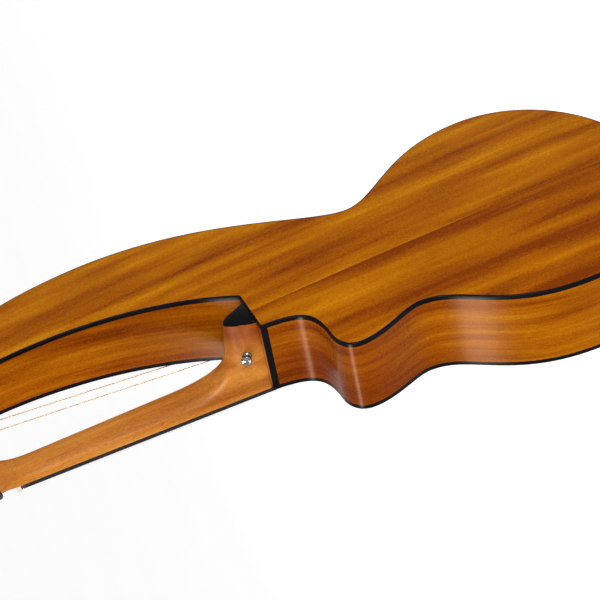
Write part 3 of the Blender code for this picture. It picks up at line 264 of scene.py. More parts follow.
def rectangle(half_x, half_y, x=0.0, y=0.0):
    """A clockwise rectangle."""
    return [Vector((x + a * half_x, y + b * half_y))
            for a, b in ((-1, -1), (-1, 1), (1, 1), (1, -1))]


def axes(x, y, z, place=(0, 0, 0)):
    """A frame from the directions of its axes and its place."""
    return Matrix(((*x, 0), (*y, 0), (*z, 0), (*place, 1))).transposed()


def head_frame(height, tilt):
    """The frame of a head's face: Y runs up it, and Z back from it."""
    return axes((1, 0, 0), (0, sin(tilt), cos(tilt)), (0, cos(tilt), -sin(tilt)), (0, 0, height))


def sideways(matrix):
    """Outlines in (y, z) with the height along X, in a frame."""
    return matrix @ axes((0, 1, 0), (0, 0, 1), (1, 0, 0))


FLIP = Matrix.Scale(-1, 4, (0, 0, 1))
FRONT = axes((1, 0, 0), (0, 0, 1), (0, -1, 0))
HEAD = head_frame(HEAD_START, HEAD_TILT)
ARM_HEAD = head_frame(ARM_NUT_Z, ARM_TILT)


# Materials
class Nodes:
    """Short ways to add nodes to a tree."""

    def __init__(self, tree):
        self.tree = tree

    def put(self, socket, value):
        if isinstance(value, bpy.types.NodeSocket):
            self.tree.links.new(value, socket)
        else:
            socket.default_value = value

    def add(self, kind, values=(), **settings):
        node = self.tree.nodes.new(kind)
        for key, value in settings.items():
            setattr(node, key, value)
        for key, value in dict(values).items():
            self.put(node.inputs[key], value)
        return node

    def math(self, operation, *values):
        return self.add('ShaderNodeMath', enumerate(values), operation=operation).outputs[0]

    def background_rays(self):
        """1 for rays from the camera, off gloss or through glass, which see white."""
        rays = self.add('ShaderNodeLightPath').outputs
        other = self.math('MAXIMUM', rays["Is Glossy Ray"], rays["Is Transmission Ray"])
        return self.math('MAXIMUM', rays["Is Camera Ray"], other)


class Look(Nodes):
    """One material and short ways to make its textures."""

    def __init__(self, name, **shader):
        self.material = bpy.data.materials.new(name)
        self.material.use_nodes = True
        super().__init__(self.material.node_tree)
        self.bsdf = self.tree.nodes["Principled BSDF"]
        for key, value in shader.items():
            self.bsdf.inputs[key.replace("_", " ")].default_value = value
        self.place = self.add('ShaderNodeTexCoord').outputs["Object"]

    def noise(self, scale, detail=2.0, rough=0.5, place=None):
        stretched = self.add('ShaderNodeVectorMath', {0: place or self.place, 1: scale},
                             operation='MULTIPLY').outputs[0]
        return self.add('ShaderNodeTexNoise', {"Vector": stretched, "Scale": 1.0, "Detail": detail,
                                               "Roughness": rough}).outputs["Fac"]

    def remap(self, value, low, high, to_low=0.0, to_high=1.0, kind='LINEAR'):
        return self.add('ShaderNodeMapRange', {"Value": value, "From Min": low, "From Max": high,
                                               "To Min": to_low, "To Max": to_high},
                        interpolation_type=kind).outputs[0]

    def ease(self, value, low, high, to_low=0.0, to_high=1.0):
        return self.remap(value, low, high, to_low, to_high, 'SMOOTHSTEP')

    def spread(self, noise, low, high):
        """The usual range of a noise, brought to another range."""
        return self.remap(noise, 0.3, 0.7, low, high)

    def sway(self, noise, amount, middle):
        """A middle value, moved by how far a noise is from its own middle."""
        return self.math('MULTIPLY_ADD', self.math('SUBTRACT', noise, 0.5), amount, middle)

    def ramp(self, value, stops):
        node = self.add('ShaderNodeValToRGB', {"Fac": value})
        while len(node.color_ramp.elements) < len(stops):
            node.color_ramp.elements.new(0.5)
        for element, (position, colour) in zip(node.color_ramp.elements, stops):
            element.position = position
            element.color = (*colour, 1.0)
        return node.outputs["Color"]

    def mix(self, factor, a, b, blend='MIX'):
        node = self.add('ShaderNodeMix', {"Factor": factor}, data_type='RGBA', blend_type=blend)
        for key, value in (("A", a), ("B", b)):
            self.put(node.inputs[key],
                     value if isinstance(value, bpy.types.NodeSocket) else (*value, 1.0))
        return node.outputs["Result"]

    def finish(self, colour, roughness, bump, strength, distance=0.0002):
        """Join the textures to the shader, with the bump's distance in metres."""
        normal = self.add('ShaderNodeBump', {"Height": bump, "Strength": strength,
                                             "Distance": distance}).outputs[0]
        for key, value in (("Base Color", colour), ("Roughness", roughness), ("Normal", normal)):
            self.put(self.bsdf.inputs[key], value)
        return self.material


PORE_COLOUR, SEAM_COLOUR = (0.09, 0.022, 0.002), (0.05, 0.015, 0.004)


def lacquered_wood(name, stops, bent=False, gloss=0.27, pore=0.4, bookmatched=False, band=1.0,
                   specular=0.025, offset=0.0, darkening_toward_back=None, lines=0.36, ends=None):
    """Ribboned wood under lacquer. Its grain runs up the part, and along the bend of a bent one."""
    look = Look(name, Specular_IOR_Level=specular, Specular_Tint=(1.0, 0.76, 0.5, 1.0))
    x, y, z = look.add('ShaderNodeSeparateXYZ', {0: look.place}).outputs
    drift = look.math('MULTIPLY_ADD', look.noise((3.0, 3.0, 3.0)), 0.012, offset - 0.006)
    across = look.math('ADD', look.math('ABSOLUTE', x) if bookmatched else x, drift)
    place = look.add('ShaderNodeCombineXYZ',
                     {"X": across, "Y": look.math('ADD', y, drift), "Z": z}).outputs[0]

    def grain(fine, coarse, detail, rough):
        """Noise that is fine across the grain and coarse along it."""
        return look.noise((coarse if bent else fine, fine, coarse), detail, rough, place)

    wide, fine = grain(36.0, 3.4, 2.0, 0.5), grain(190.0, 8.0, 3.0, 0.6)
    fleck, pores = grain(640.0, 330.0, 3.0, 0.75), grain(2300.0, 95.0, 1.0, 0.5)
    ribbon = look.sway(fine, lines, look.sway(wide, 1.5 * band, 0.52))
    if bookmatched:
        # The ribbon turns over at the middle joint, with a dark band beside it and a darker edge
        swing = look.math('MULTIPLY', look.math('SUBTRACT', ribbon, 0.5), look.math('SIGN', x))
        ribbon = look.math('SUBTRACT', 0.5, swing)
        edge = look.math('ADD', x, look.math('MULTIPLY_ADD', wide, 0.03, -0.015))
        core = look.math('MULTIPLY', look.ease(edge, 0.002, 0.034, 1.0, 0.0),
                         look.math('GREATER_THAN', x, 0.0))
        core = look.math('MULTIPLY', core, look.ease(z, -0.36, -0.56, 0.15, 1.0))
        ribbon = look.math('MULTIPLY_ADD', core, -0.42, ribbon)
        ribbon = look.math('ADD', ribbon, look.ease(x, 0.02, 0.10, 0.0, -0.15))
    ribbon = look.sway(fleck, 0.75, ribbon)
    colour = look.ramp(ribbon, stops)
    # Painted shade: the ribs keep their darker stops round the cutaway horn and blend towards the
    # ends' stops lower down the body and up by the joint and the arm
    if ends:
        share = look.math('ADD', look.ease(z, -0.46, -0.62, 0.0, 0.9),
                          look.ease(z, -0.36, -0.30, 0.0, 0.45))
        colour = look.mix(share, colour, look.ramp(ribbon, ends))
    holes = look.remap(pores, 0.6, 0.72)
    colour = look.mix(look.math('MULTIPLY', holes, pore), colour, PORE_COLOUR)
    if bookmatched:
        seam = look.remap(look.math('ABSOLUTE', x), 0.00015, 0.0005, 0.55, 0.0)
        colour = look.mix(seam, colour, SEAM_COLOUR)
    # The colour darkens and reddens towards the back (+Y), between two depths
    if darkening_toward_back:
        low, high, tone = darkening_toward_back
        colour = look.mix(look.ease(y, low, high), colour, tone, 'MULTIPLY')
    return look.finish(colour, look.spread(fleck, gloss - 0.05, gloss + 0.06),
                       look.math('MULTIPLY_ADD', holes, -1.0, fleck), 0.06)


MAHOGANY_STOPS = ((0.12, (0.20, 0.036, 0.0006)), (0.42, (0.35, 0.094, 0.0008)),
                  (0.68, (0.47, 0.160, 0.001)), (0.92, (0.60, 0.25, 0.004)))
# Painted shade: a darker copy of the mahogany stops, for the ribs
SHADED_RIB_STOPS = ((0.12, (0.15, 0.022, 0.0008)), (0.42, (0.25, 0.050, 0.001)),
             (0.68, (0.35, 0.092, 0.0015)), (0.92, (0.47, 0.150, 0.003)))
NECK_STOPS = ((0.1, (0.32, 0.092, 0.008)), (0.45, (0.52, 0.190, 0.026)),
              (0.75, (0.61, 0.255, 0.040)), (0.95, (0.71, 0.335, 0.066)))
BACK_WOOD = lacquered_wood("mahogany_back", MAHOGANY_STOPS, bookmatched=True)
SHADED_RIB_WOOD = lacquered_wood("mahogany_ribs_painted_shade", SHADED_RIB_STOPS, bent=True, specular=0.042, offset=0.4,
                          lines=0.85, ends=MAHOGANY_STOPS)
ARM_WOOD = lacquered_wood("mahogany_head", MAHOGANY_STOPS, offset=0.9)
NECK_WOOD = lacquered_wood("mahogany_neck", NECK_STOPS, gloss=0.36, pore=0.6, band=1.1, lines=0.5,
                           specular=0.17, offset=1.7, darkening_toward_back=(0.045, 0.09, (0.54, 0.29, 0.09)))


def spruce():
    """Fine straight lines with slow shade changes, mirrored at the middle joint, and a rosette."""
    look = Look("spruce_top", Specular_IOR_Level=0.35)
    x, y, z = look.add('ShaderNodeSeparateXYZ', {0: look.place}).outputs
    drift = look.math('MULTIPLY_ADD', look.noise((2.0, 2.0, 1.6)), 0.004, -0.002)
    warped = look.math('ADD', look.math('ABSOLUTE', x), drift)
    place = look.add('ShaderNodeCombineXYZ', {"X": warped, "Y": y, "Z": z}).outputs[0]
    lines = look.noise((560.0, 20.0, 1.2), 1.0, 0.5, place)
    slow = look.noise((26.0, 10.0, 1.2), 2.0, 0.5, place)
    silk = look.noise((60.0, 60.0, 420.0), 2.0, 0.5, place)
    shade = look.sway(silk, 0.2, look.sway(lines, 1.3, look.sway(slow, 0.6, 0.5)))
    colour = look.ramp(shade, ((0.15, (0.42, 0.21, 0.065)), (0.5, (0.62, 0.38, 0.15)),
                               (0.9, (0.74, 0.5, 0.23))))
    hole = Vector((0.0, 0.0, station_z(SOUNDHOLE_STATION))) * MM
    radius = look.add('ShaderNodeVectorMath', {0: look.place, 1: hole},
                      operation='DISTANCE').outputs["Value"]
    turn = look.math('ARCTAN2', x, look.math('SUBTRACT', z, hole.z))
    chip = look.add('ShaderNodeCombineXYZ', {"X": look.math('MULTIPLY', turn, 0.12), "Y": radius})
    shell = look.noise((260.0, 260.0, 260.0), 3.0, 0.6, chip.outputs[0])
    pearl = look.ramp(shell, ((0.3, (0.25, 0.38, 0.36)), (0.5, (0.62, 0.66, 0.60)),
                              (0.7, (0.72, 0.60, 0.58))))
    dark, pale = (0.02, 0.018, 0.016), (0.75, 0.70, 0.58)
    for low, high, tone in ((52.5, 53.3, dark), (53.3, 53.9, pale), (53.9, 54.6, dark),
                            (54.6, 58.2, pearl), (58.2, 58.9, dark), (58.9, 59.5, pale),
                            (59.5, 60.3, dark), (64.0, 64.6, dark)):
        inside = look.math('MULTIPLY', look.math('GREATER_THAN', radius, low * MM),
                           look.math('LESS_THAN', radius, high * MM))
        colour = look.mix(inside, colour, tone)
    return look.finish(colour, look.spread(silk, 0.27, 0.36), lines, 0.05)


def dark_wood(name, dark, light, gloss):
    look = Look(name, Specular_IOR_Level=0.15)
    lines = look.noise((700.0, 700.0, 12.0), 3.0, 0.6)
    pores = look.noise((2500.0, 2500.0, 160.0), 1.0)
    colour = look.ramp(lines, ((0.3, dark), (0.75, light)))
    return look.finish(colour, look.spread(pores, gloss - 0.06, gloss + 0.1), pores, 0.12)


def polished(name, colour, gloss, metallic=0.0, mottle=0.08, grain=(900.0, 900.0, 900.0),
             specular=0.5):
    """Plastic, bone or metal with faint unevenness in its shade and its polish."""
    look = Look(name, Metallic=metallic, Specular_IOR_Level=specular)
    fine = look.noise(grain, 3.0, 0.6)
    shade = look.spread(look.noise((40.0, 40.0, 40.0)), 1.0 - mottle, 1.0 + mottle)
    tinted = look.add('ShaderNodeVectorMath', {0: colour, "Scale": shade}, operation='SCALE')
    return look.finish(tinted.outputs[0], look.spread(fine, gloss * 0.8, gloss * 1.25), fine,
                       0.03, 0.0001)


def wound_wire(name, colour, turns):
    """A wire wound round its core: fine ridges along the string, with painted shade in the grooves
    between the turns.
    """
    look = Look(name, Metallic=1.0)
    wave = look.add('ShaderNodeTexWave', {"Vector": look.place, "Scale": turns, "Distortion": 0.0},
                    bands_direction='Z').outputs["Fac"]
    # Painted shade: the colour darkens in the grooves between the turns
    tone = look.mix(look.remap(wave, 0.0, 1.0, 0.45, 0.0), colour, [0.35 * c for c in colour])
    return look.finish(tone, look.spread(look.noise((60.0, 60.0, 60.0)), 0.28, 0.4), wave, 0.25)


BLACK = (0.004, 0.004, 0.005)
SPRUCE = spruce()
EBONY = dark_wood("ebony", (0.006, 0.0055, 0.005), (0.022, 0.018, 0.015), 0.38)
ROSEWOOD = dark_wood("rosewood", (0.05, 0.018, 0.01), (0.13, 0.055, 0.03), 0.5)
BINDING = polished("black_binding", BLACK, 0.25, mottle=0.3, specular=0.04)
CAP_BLACK = polished("cap_black", BLACK, 0.16, mottle=0.3, specular=0.03)
BONE = polished("bone", (0.80, 0.76, 0.64), 0.32, mottle=0.05, grain=(300.0, 900.0, 900.0))
PEARL = polished("pearl_inlay", (0.78, 0.79, 0.76), 0.2, mottle=0.25, grain=(400.0, 400.0, 400.0))
NICKEL = polished("nickel", (0.50, 0.49, 0.47), 0.2, 1.0)
FRET_METAL = polished("fret_metal", (0.62, 0.61, 0.58), 0.22, 1.0)
# Painted reflection: the chrome's colour is kept dark so that it shows dark surroundings in the
# pale room
CHROME_PAINTED_DARK = polished("chrome", (0.17, 0.17, 0.18), 0.07, 1.0, mottle=0.03)
# Painted shade: a dark material for pieces that stand in for the shade inside slots and holes
PAINTED_SHADE_BLACK = polished("painted_recess_shade", (0.02, 0.02, 0.02), 0.4)
BUTTON = polished("tuner_button", (0.012, 0.011, 0.011), 0.18, mottle=0.3)
STEEL = polished("plain_steel", (0.55, 0.55, 0.56), 0.22, 1.0, grain=(2000.0, 2000.0, 60.0))
BRONZE = wound_wire("wound_bronze", (0.34, 0.25, 0.145), 700.0)


# Body
def bisect(shape, place, normal, **more):
    geometry = shape.verts[:] + shape.edges[:] + shape.faces[:]
    return bmesh.ops.bisect_plane(shape, geom=geometry, plane_co=place, plane_no=normal, **more)


def plate(name, loop, depth, thickness, material, node, step, hole=None):
    """A sheet over a plan outline, on a depth function, with thickness to its inner side."""
    shape = bmesh.new()
    edges = []
    for ring in filter(None, (loop, hole)):
        verts = [shape.verts.new((p.x, 0, p.y)) for p in ring]
        edges += [shape.edges.new((a, b)) for a, b in zip(verts, verts[1:] + verts[:1])]
    bmesh.ops.triangle_fill(shape, use_beauty=True, use_dissolve=False, edges=edges)
    for z in range(-850, 0, step):
        bisect(shape, (0, 0, z), (0, 0, 1), dist=1e-3)
    for x in range(-224, 190, step):
        bisect(shape, (x, 0, 0), (1, 0, 0), dist=1e-3)
    for vert in shape.verts:
        vert.co.y = depth(vert.co.x, vert.co.z)
    for face in shape.faces:
        face.normal_update()
    outward = 1.0 if thickness < 0 else -1.0
    if sum(face.normal.y * face.calc_area() for face in shape.faces) * outward < 0:
        bmesh.ops.reverse_faces(shape, faces=shape.faces)
    for item in bmesh.ops.extrude_face_region(shape, geom=shape.faces[:])["geom"]:
        if isinstance(item, bmesh.types.BMVert):
            item.co.y += thickness
    piece(name, shape, material, stands_for=(node,), angle=30)


def binding(name, edge, sign, node):
    """A strip let into the corner of a plate and the ribs, with its outer corner eased."""
    profile = [(BINDING_WIDTH, BINDING_HEIGHT), (0.0, BINDING_HEIGHT), *corner(BINDING_EASE, 4),
               (BINDING_WIDTH, 0.0)]
    loops = [[Vector((p.x, edge(p.x, p.y) - sign * drop, p.y)) for p in inset(OUTLINE, distance)]
             for distance, drop in profile]
    piece(name, rings(loops, closed_rings=True), BINDING, stands_for=(node,),
          angle=50)


def rib(name, path, nodes, material):
    """A bent side between the two bindings."""
    last = len(path) - 1
    inner = []
    for index, point in enumerate(path):
        run = (path[min(last, index + 1)] - path[max(0, index - 1)]).normalized()
        inner.append(point + Vector((run.y, -run.x)) * RIB_THICKNESS)
    near = BINDING_HEIGHT + HAIR
    loops = [[Vector((p.x, near + (back_depth(p.x, p.y) - 2 * near) * share, p.y)) for p in line]
             for line, shares in ((path, (0.0, 0.33, 0.66, 1.0)), (inner, (1.0, 0.0)))
             for share in shares]
    shape = rings(loops, closed_loop=False, closed_rings=True)
    shape.verts.ensure_lookup_table()
    for end in (0, last):
        shape.faces.new([shape.verts[k * len(path) + end] for k in range(len(loops))])
    piece(name, shape, material, stands_for=nodes, angle=45)


TRIM_LENGTH, TAIL_GAP, GRAFT_HALF, GRAFT_RISE = 8.0, 2.6, 6.0, 0.12
plate_edge = inset(OUTLINE, BINDING_WIDTH + 0.03)
plate("back", plate_edge, back_depth, -PLATE_THICKNESS, BACK_WOOD, "back_plate", 14)
plate("top", plate_edge, lambda x, z: 0.0, PLATE_THICKNESS, SPRUCE, "soundboard", 60,
      circle(SOUNDHOLE_RADIUS, 96, (0.0, station_z(SOUNDHOLE_STATION))))
binding("binding_back", back_depth, 1.0, "back_binding")
binding("binding_top", lambda x, z: 0.0, -1.0, "top_binding")
trim = cut_path(TREBLE[::-1], path_length(TREBLE) - TRIM_LENGTH)[::-1]
rib("cutaway_strip", trim, ("cutaway_trim",), BINDING)
rib("rib_treble", trimmed(TREBLE, TRIM_LENGTH + HAIR, TAIL_GAP), ("side_treble",), SHADED_RIB_WOOD)
rib("rib_bass", trimmed(BASS, TAIL_GAP, 0.0), ("side_bass",), SHADED_RIB_WOOD)
rib("rib_arm", ARM[::-1], ("side_arm",), SHADED_RIB_WOOD)
graft = cut_path(TREBLE, path_length(TREBLE) - GRAFT_HALF)
graft += trimmed(BASS, 0.0, path_length(BASS) - GRAFT_HALF)[1:]
rib("end_graft", [p - Vector((0.0, GRAFT_RISE)) for p in graft], (), BINDING)


def carve(shape, cutter):
    """Take one closed shape away from another."""
    items = [add_object("carve", add_mesh("carve", one)) for one in (shape, cutter)]
    change = items[0].modifiers.new("carve", 'BOOLEAN')
    change.operation, change.object, change.solver = 'DIFFERENCE', items[1], 'EXACT'
    result = bmesh.new()
    result.from_object(items[0], bpy.context.evaluated_depsgraph_get())
    for item in items:
        mesh = item.data
        bpy.data.objects.remove(item)
        bpy.data.meshes.remove(mesh)
    return result


def keep_side(shape, place, normal):
    """Cut a shape at a plane, drop what lies beyond it and close the cut with new faces."""
    cut = bisect(shape, place, normal, clear_outer=True, dist=1e-4)["geom_cut"]
    rim = [item for item in cut if isinstance(item, bmesh.types.BMEdge)]
    return bmesh.ops.contextual_create(shape, geom=rim)["faces"]


def tube(points, radius, sides, shape=None):
    """A round wire through points, mitred at its bends."""
    points = [Vector(p) for p in points]
    loops = []
    normal = None
    for index, point in enumerate(points):
        before = point - points[index - 1] if index else points[1] - point
        after = points[index + 1] - point if index + 1 < len(points) else before
        run = (before.normalized() + after.normalized()).normalized()
        if normal is None:
            normal = run.orthogonal()
        normal = (normal - run * normal.dot(run)).normalized()
        other = run.cross(normal)
        loops.append([point + (normal * cos(a) + other * sin(a)) * radius
                      for a in (2 * pi * k / sides for k in range(sides))])
    return rings(loops, shape=shape)


# Neck, heel and headstock
NECK_ROUND, HEAD_ROUND, HEEL_ROUND, FOOT_ROUND, RIDGE_EASE = 0.9, 0.1, 1.4, 0.12, 0.7
HEAD_JOIN, SHAFT_TOP, SHAFT_END = 24.0, -22.0, station_z(-125.0)
SHAFT_DEPTH, SHAFT_GAIN, FILLET_DEPTH = 14.5, 3.5, 14.96
HEEL_KNEE, HEEL_FLOOR = Vector((57.0, station_z(-40.5))), 128.0
HEEL_FRONT, HEEL_TURN = -24.0, -12.0
HALF_HEAD = (bezier((BOARD_HALF, 0.0), UP, 14.4, (34.0, 36.0), UP - 12.0, 12.6, 12)
             + [Vector((34.0 + 3.0 * k / 10, 36.0 + 130.0 * k / 10)) for k in range(1, 11)]
             + bezier((37.0, 166.0), UP + 10.0, 10.0, (0.6, HEAD_LENGTH), LEFT, 18.5, 16)[1:])
HEAD_TABLE = [(p.y, p.x) for p in HALF_HEAD]


def on_head(height, depth):
    """A place in the headstock's middle plane, as (depth, height) of the whole part."""
    place = HEAD @ Vector((0, height, depth))
    return Vector((place.y, place.z))


def neck_rows():
    """Rows of (front, back) places in (depth, height), half width, roundness and narrowing."""
    rows = [(on_head(p.y, 0), on_head(p.y, HEAD_THICKNESS), p.x, HEAD_ROUND, 0.0)
            for p in reversed(HALF_HEAD) if p.y > HEAD_JOIN]
    steps = 18
    fillet = bezier((FILLET_DEPTH, SHAFT_TOP), UP, 20.0, on_head(HEAD_JOIN, HEAD_THICKNESS),
                    UP - 13.0, 13.0, steps)
    for k, back in reversed(list(enumerate(fillet))):
        z = (HEAD_JOIN - SHAFT_TOP + HEAD_START) * k / steps + SHAFT_TOP
        over = z - HEAD_START
        front = on_head(over, 0) if over > 0 else Vector((0, z))
        half = between(HEAD_TABLE, over) if over > 0 else board_half(min(0.0, z))
        roundness = NECK_ROUND + (HEAD_ROUND - NECK_ROUND) * (k / steps) ** 1.5
        rows.append((front, back, half, roundness, 0.0))

    def add_row(z, back, roundness):
        rows.append((Vector((0, z)), back, board_half(z), roundness, 1.0))

    for k in range(1, 17):
        z = SHAFT_TOP + (SHAFT_END - SHAFT_TOP) * k / 16
        depth = SHAFT_DEPTH + SHAFT_GAIN * (5.0 - z) / (5.0 - SHAFT_END)
        add_row(z, Vector((depth, z)), NECK_ROUND)
    steps = 44
    bend = bezier((SHAFT_DEPTH + SHAFT_GAIN, SHAFT_END), DOWN, 70.0, HEEL_KNEE, -12.0, 22.0, steps)
    for k, back in enumerate(bend[1:], 1):
        t = k / steps
        add_row(SHAFT_END + (station_z(HEEL_FRONT) - SHAFT_END) * t, back,
                NECK_ROUND + (HEEL_ROUND - NECK_ROUND) * t ** 1.8)
    tip = Vector((HEEL_FLOOR, station_z(HEEL_TIP_STATION)))
    for t in (k / 8 for k in range(1, 9)):
        add_row(station_z(HEEL_FRONT + (HEEL_TURN - HEEL_FRONT) * t), HEEL_KNEE.lerp(tip, t),
                HEEL_ROUND)
    foot = Vector((HEEL_FLOOR, JOINT_Z + CLEAR))
    for t in (k / 12 for k in range(1, 13)):
        add_row(station_z(HEEL_TURN * (1 - t)) + CLEAR * t, tip.lerp(foot, t),
                HEEL_ROUND + (FOOT_ROUND - HEEL_ROUND) * t)
    return rows


def neck_shape(rows, arcs=16):
    """Sections from edge to edge over the back. The heel's eased ridge fades into the shaft."""
    loops = []
    for front, back, half, roundness, narrow in rows:
        share = max(0.0, (roundness - NECK_ROUND) / (HEEL_ROUND - NECK_ROUND))
        ease = (RIDGE_EASE * (1.3 - share) * min(1.0, share / 0.2)) ** 2
        loop = []
        for k in range(2 * arcs + 1):
            angle = pi * k / (2 * arcs)
            side = 0.0 if k == arcs else cos(angle)
            across = side * ((side * side + ease + 1e-12) / (1.0 + ease)) ** (
                (roundness - 1.0) / 2.0)
            t = sin(angle) ** roundness if 0 < k < 2 * arcs else 0.0
            place = front.lerp(back, t)
            shrink = 1 - narrow * (1 - HEEL_TIP_HALF / half) * min(
                1.0, t * (back.x - front.x) / HEEL_DEPTH)
            loop.append(Vector((half * across * shrink, place.x, place.y)))
        loops.append(loop)
    return rings(loops)


def heel_plane(offset):
    """A place on the heel's back and the way out of it, at an offset below it."""
    tip = station_z(HEEL_TIP_STATION)
    slope = (back_depth(0, tip) - back_depth(0, JOINT_Z)) / (tip - JOINT_Z)
    place = Vector((0, back_depth(0, JOINT_Z) - offset, JOINT_Z))
    return place, Vector((0, 1, -slope)).normalized()


STRAP_SEAT = (Matrix.Translation((17.2, 53.0, station_z(-19.2)))
              @ Matrix.Rotation(radians(65.0), 4, 'Y'))
STRAP_HOLE, CAP_ROWS, CAP_EASE = 6.4, 26, 0.9
ROWS = neck_rows()
neck = neck_shape(ROWS)
keep_side(neck, *heel_plane(HEEL_CAP + HAIR))
neck = carve(neck, turned(((STRAP_HOLE, 0.0), (STRAP_HOLE, 30.0)), 48, STRAP_SEAT))
piece("neck_body", neck, NECK_WOOD, stands_for=("neck",), angle=40)

cap = neck_shape(ROWS[-CAP_ROWS:], 24)
low, out_normal = heel_plane(HEEL_CAP)
keep_side(cap, low, -out_normal)
faces = keep_side(cap, *heel_plane(0.0))
rim = [edge for edge in cap.edges if sum(f in faces for f in edge.link_faces) == 1]
bmesh.ops.bevel(cap, geom=rim, offset=CAP_EASE, segments=3, affect='EDGES', profile=0.5)
piece("heel_cap_piece", cap, CAP_BLACK, stands_for=("heel_cap",), angle=30)


def head_slab(name, outline, low, high, material, soft, head=HEAD):
    """A plate on a head's front face; heights run forward from the face."""
    piece(name, slab(outline, low, high, soft, head @ FLIP), material)


right = [Vector((BOARD_HALF, 1.0))] + [p for p in HALF_HEAD if p.y > 1.5]
veneer = right + [Vector((-p.x, p.y)) for p in reversed(right)]
head_slab("head_veneer", inset(veneer[::-1], 0.3), -0.1, 0.7, EBONY, 0.4)
half_cover = ((-9.0, 6.0), (-11.0, 12.0), (-8.0, 26.0), (-3.0, 44.0), (0.0, 47.0))
cover = [Vector(p) for p in half_cover] + [Vector((-x, y)) for x, y in half_cover[-2::-1]]
head_slab("rod_cover", cover, 0.6, 2.2, CAP_BLACK, 0.5)


# Fingerboard, frets and nut
def board_section(distance, shrink, count=12):
    half = board_half(-distance) - shrink
    loop = [Vector((-half, -0.02, -distance)), Vector((half, -0.02, -distance))]
    for k in range(count + 1):
        x = half * (1 - 2 * k / count)
        crown = BOARD_CROWN * (x / half) ** 2
        loop.append(Vector((x, -(BOARD_THICKNESS - crown), -distance)))
    return loop


board_end = fret_distance(FRET_COUNT) + 4.0
board = rings([board_section(distance, shrink) for distance, shrink in
               [(0.3, 0.15), (0.5, 0.0)] + [(board_end * k / 30, 0.0) for k in range(1, 30)]
               + [(board_end - 0.4, 0.0), (board_end, 0.3)]])
piece("fingerboard_body", board, EBONY, stands_for=("fingerboard",), angle=40)

FRET_PROFILE = ((-1.1, -0.3), (-1.0, 0.35), (-0.6, 0.8), (0.0, 1.0), (0.6, 0.8), (1.0, 0.35),
                (1.1, -0.3))
FRET_END = 1.5
frets = bmesh.new()
for number in range(1, FRET_COUNT + 1):
    middle = fret_distance(number)
    half = board_half(-middle) - HAIR
    loops = []
    for offset, rise in FRET_PROFILE:
        line = []
        for k in range(17):
            x = half * (1 - 2 * k / 16)
            ends = max(0.0, abs(x) - half + FRET_END) / FRET_END
            y = BOARD_THICKNESS - BOARD_CROWN * (x / half) ** 2 + rise * (1 - 0.6 * ends ** 2)
            line.append(Vector((x, -y, -middle + offset)))
        loops.append(line)
    rings(loops, closed_loop=False, closed_rings=True, shape=frets)
bmesh.ops.holes_fill(frets, edges=frets.edges)
piece("frets", frets, FRET_METAL, angle=50)

# Each mark: a fret, the places of its dots across the face and along the side
MARKS = [(n, (0.0,), (0.0,)) for n in (3, 5, 7, 9, 15, 17, 19)] + [(12, (-9.5, 9.5), (-3.0, 3.0))]
dots = bmesh.new()
for number, places, shifts in MARKS:
    z = -(fret_distance(number - 1) + fret_distance(number)) / 2
    for x in places:
        tall = BOARD_THICKNESS - BOARD_CROWN * (x / board_half(z)) ** 2
        slab(circle(3.0, 28, (x, z)), tall - 1.0, tall + 0.04, 0, FRONT, dots)
    for side_z in (z + shift for shift in shifts):
        seat = Matrix.Translation((-board_half(side_z) - 0.03, -3.2, side_z))
        slab(circle(1.0, 16), 0.0, 1.0, 0, sideways(seat), dots)
piece("position_dots", dots, PEARL)

# Strings by their share of the spread and their radius, and the sub-bass strings' radii
NECK_STRINGS = [(k / 5 - 0.5, d / 2) for k, d in enumerate((1.35, 1.07, 0.81, 0.61, 0.45, 0.40))]
BASS_RADII = [d / 2 for d in (1.2, 1.35, 1.5, 1.65, 1.8)]
NUT_SPREAD, SADDLE_SPREAD = 37.0, 56.0
SADDLE_CROWN = 12.35


def bass_lean(number):
    return 0.094 + 0.0125 * number


def bass_x(number, z):
    return -(44.5 + 11.0 * number) - (z - SADDLE_Z) * bass_lean(number)


def bone_bar(name, left, right, z_low, z_high, bottom, top, strings, node):
    """A bar of bone across the strings, with a round slot under each one."""
    mid, half = (z_low + z_high) / 2, (z_high - z_low) / 2
    turns = [pi * k / 8 for k in range(9)]
    outline = [Vector((top - 1.2 + 1.2 * sin(a), mid + half * cos(a))) for a in turns]
    outline += [Vector((bottom, z_low)), Vector((bottom, z_high))]
    bar = slab(outline[::-1], left, right, 0, axes((0, -1, 0), (0, 0, 1), (1, 0, 0)))
    if strings:
        cuts = bmesh.new()
        for x, depth, radius, lean in strings:
            tube([(x - lean * 9, -depth, mid - 9), (x + lean * 9, -depth, mid + 9)], radius, 16,
                 cuts)
        bar = carve(bar, cuts)
    sharp = [e for e in bar.edges if len(e.link_faces) == 2 and e.calc_face_angle(0) > 1.2
             and e.calc_length() > 2.0]
    bmesh.ops.bevel(bar, geom=sharp, offset=0.2, segments=1, affect='EDGES')
    piece(name, bar, BONE, stands_for=(node,), angle=35)


nut_marks = [(share * NUT_SPREAD, NUT_HEIGHT + CLEAR + radius, radius,
              share * (NUT_SPREAD - SADDLE_SPREAD) / 650.0) for share, radius in NECK_STRINGS]
bass_marks = [(bass_x(n, 31.4), ARM_NUT_HEIGHT + CLEAR + radius, radius, -bass_lean(n))
              for n, radius in enumerate(BASS_RADII)]
bone_bar("nut_bone", -21.7, 21.7, 0.0, 4.7, 0.3, NUT_HEIGHT + 0.75, nut_marks, "nut")
for name, left, right, node in (
        ("saddle_bone", -35.0, 35.0, "saddle"),
        ("bass_saddle_bone", bass_x(4, SADDLE_Z) - 5, bass_x(0, SADDLE_Z) + 5, "sub_bass_saddle")):
    bone_bar(name, left, right, SADDLE_Z - 1.5, SADDLE_Z + 1.5, 6.0, SADDLE_CROWN, (), node)
bone_bar("bass_nut_bone", bass_x(4, ARM_NUT_Z) - 8, bass_x(0, ARM_NUT_Z) + 8, 29.0, 33.7, 0.3,
         ARM_NUT_HEIGHT + 1.0, bass_marks, "sub_bass_nut")

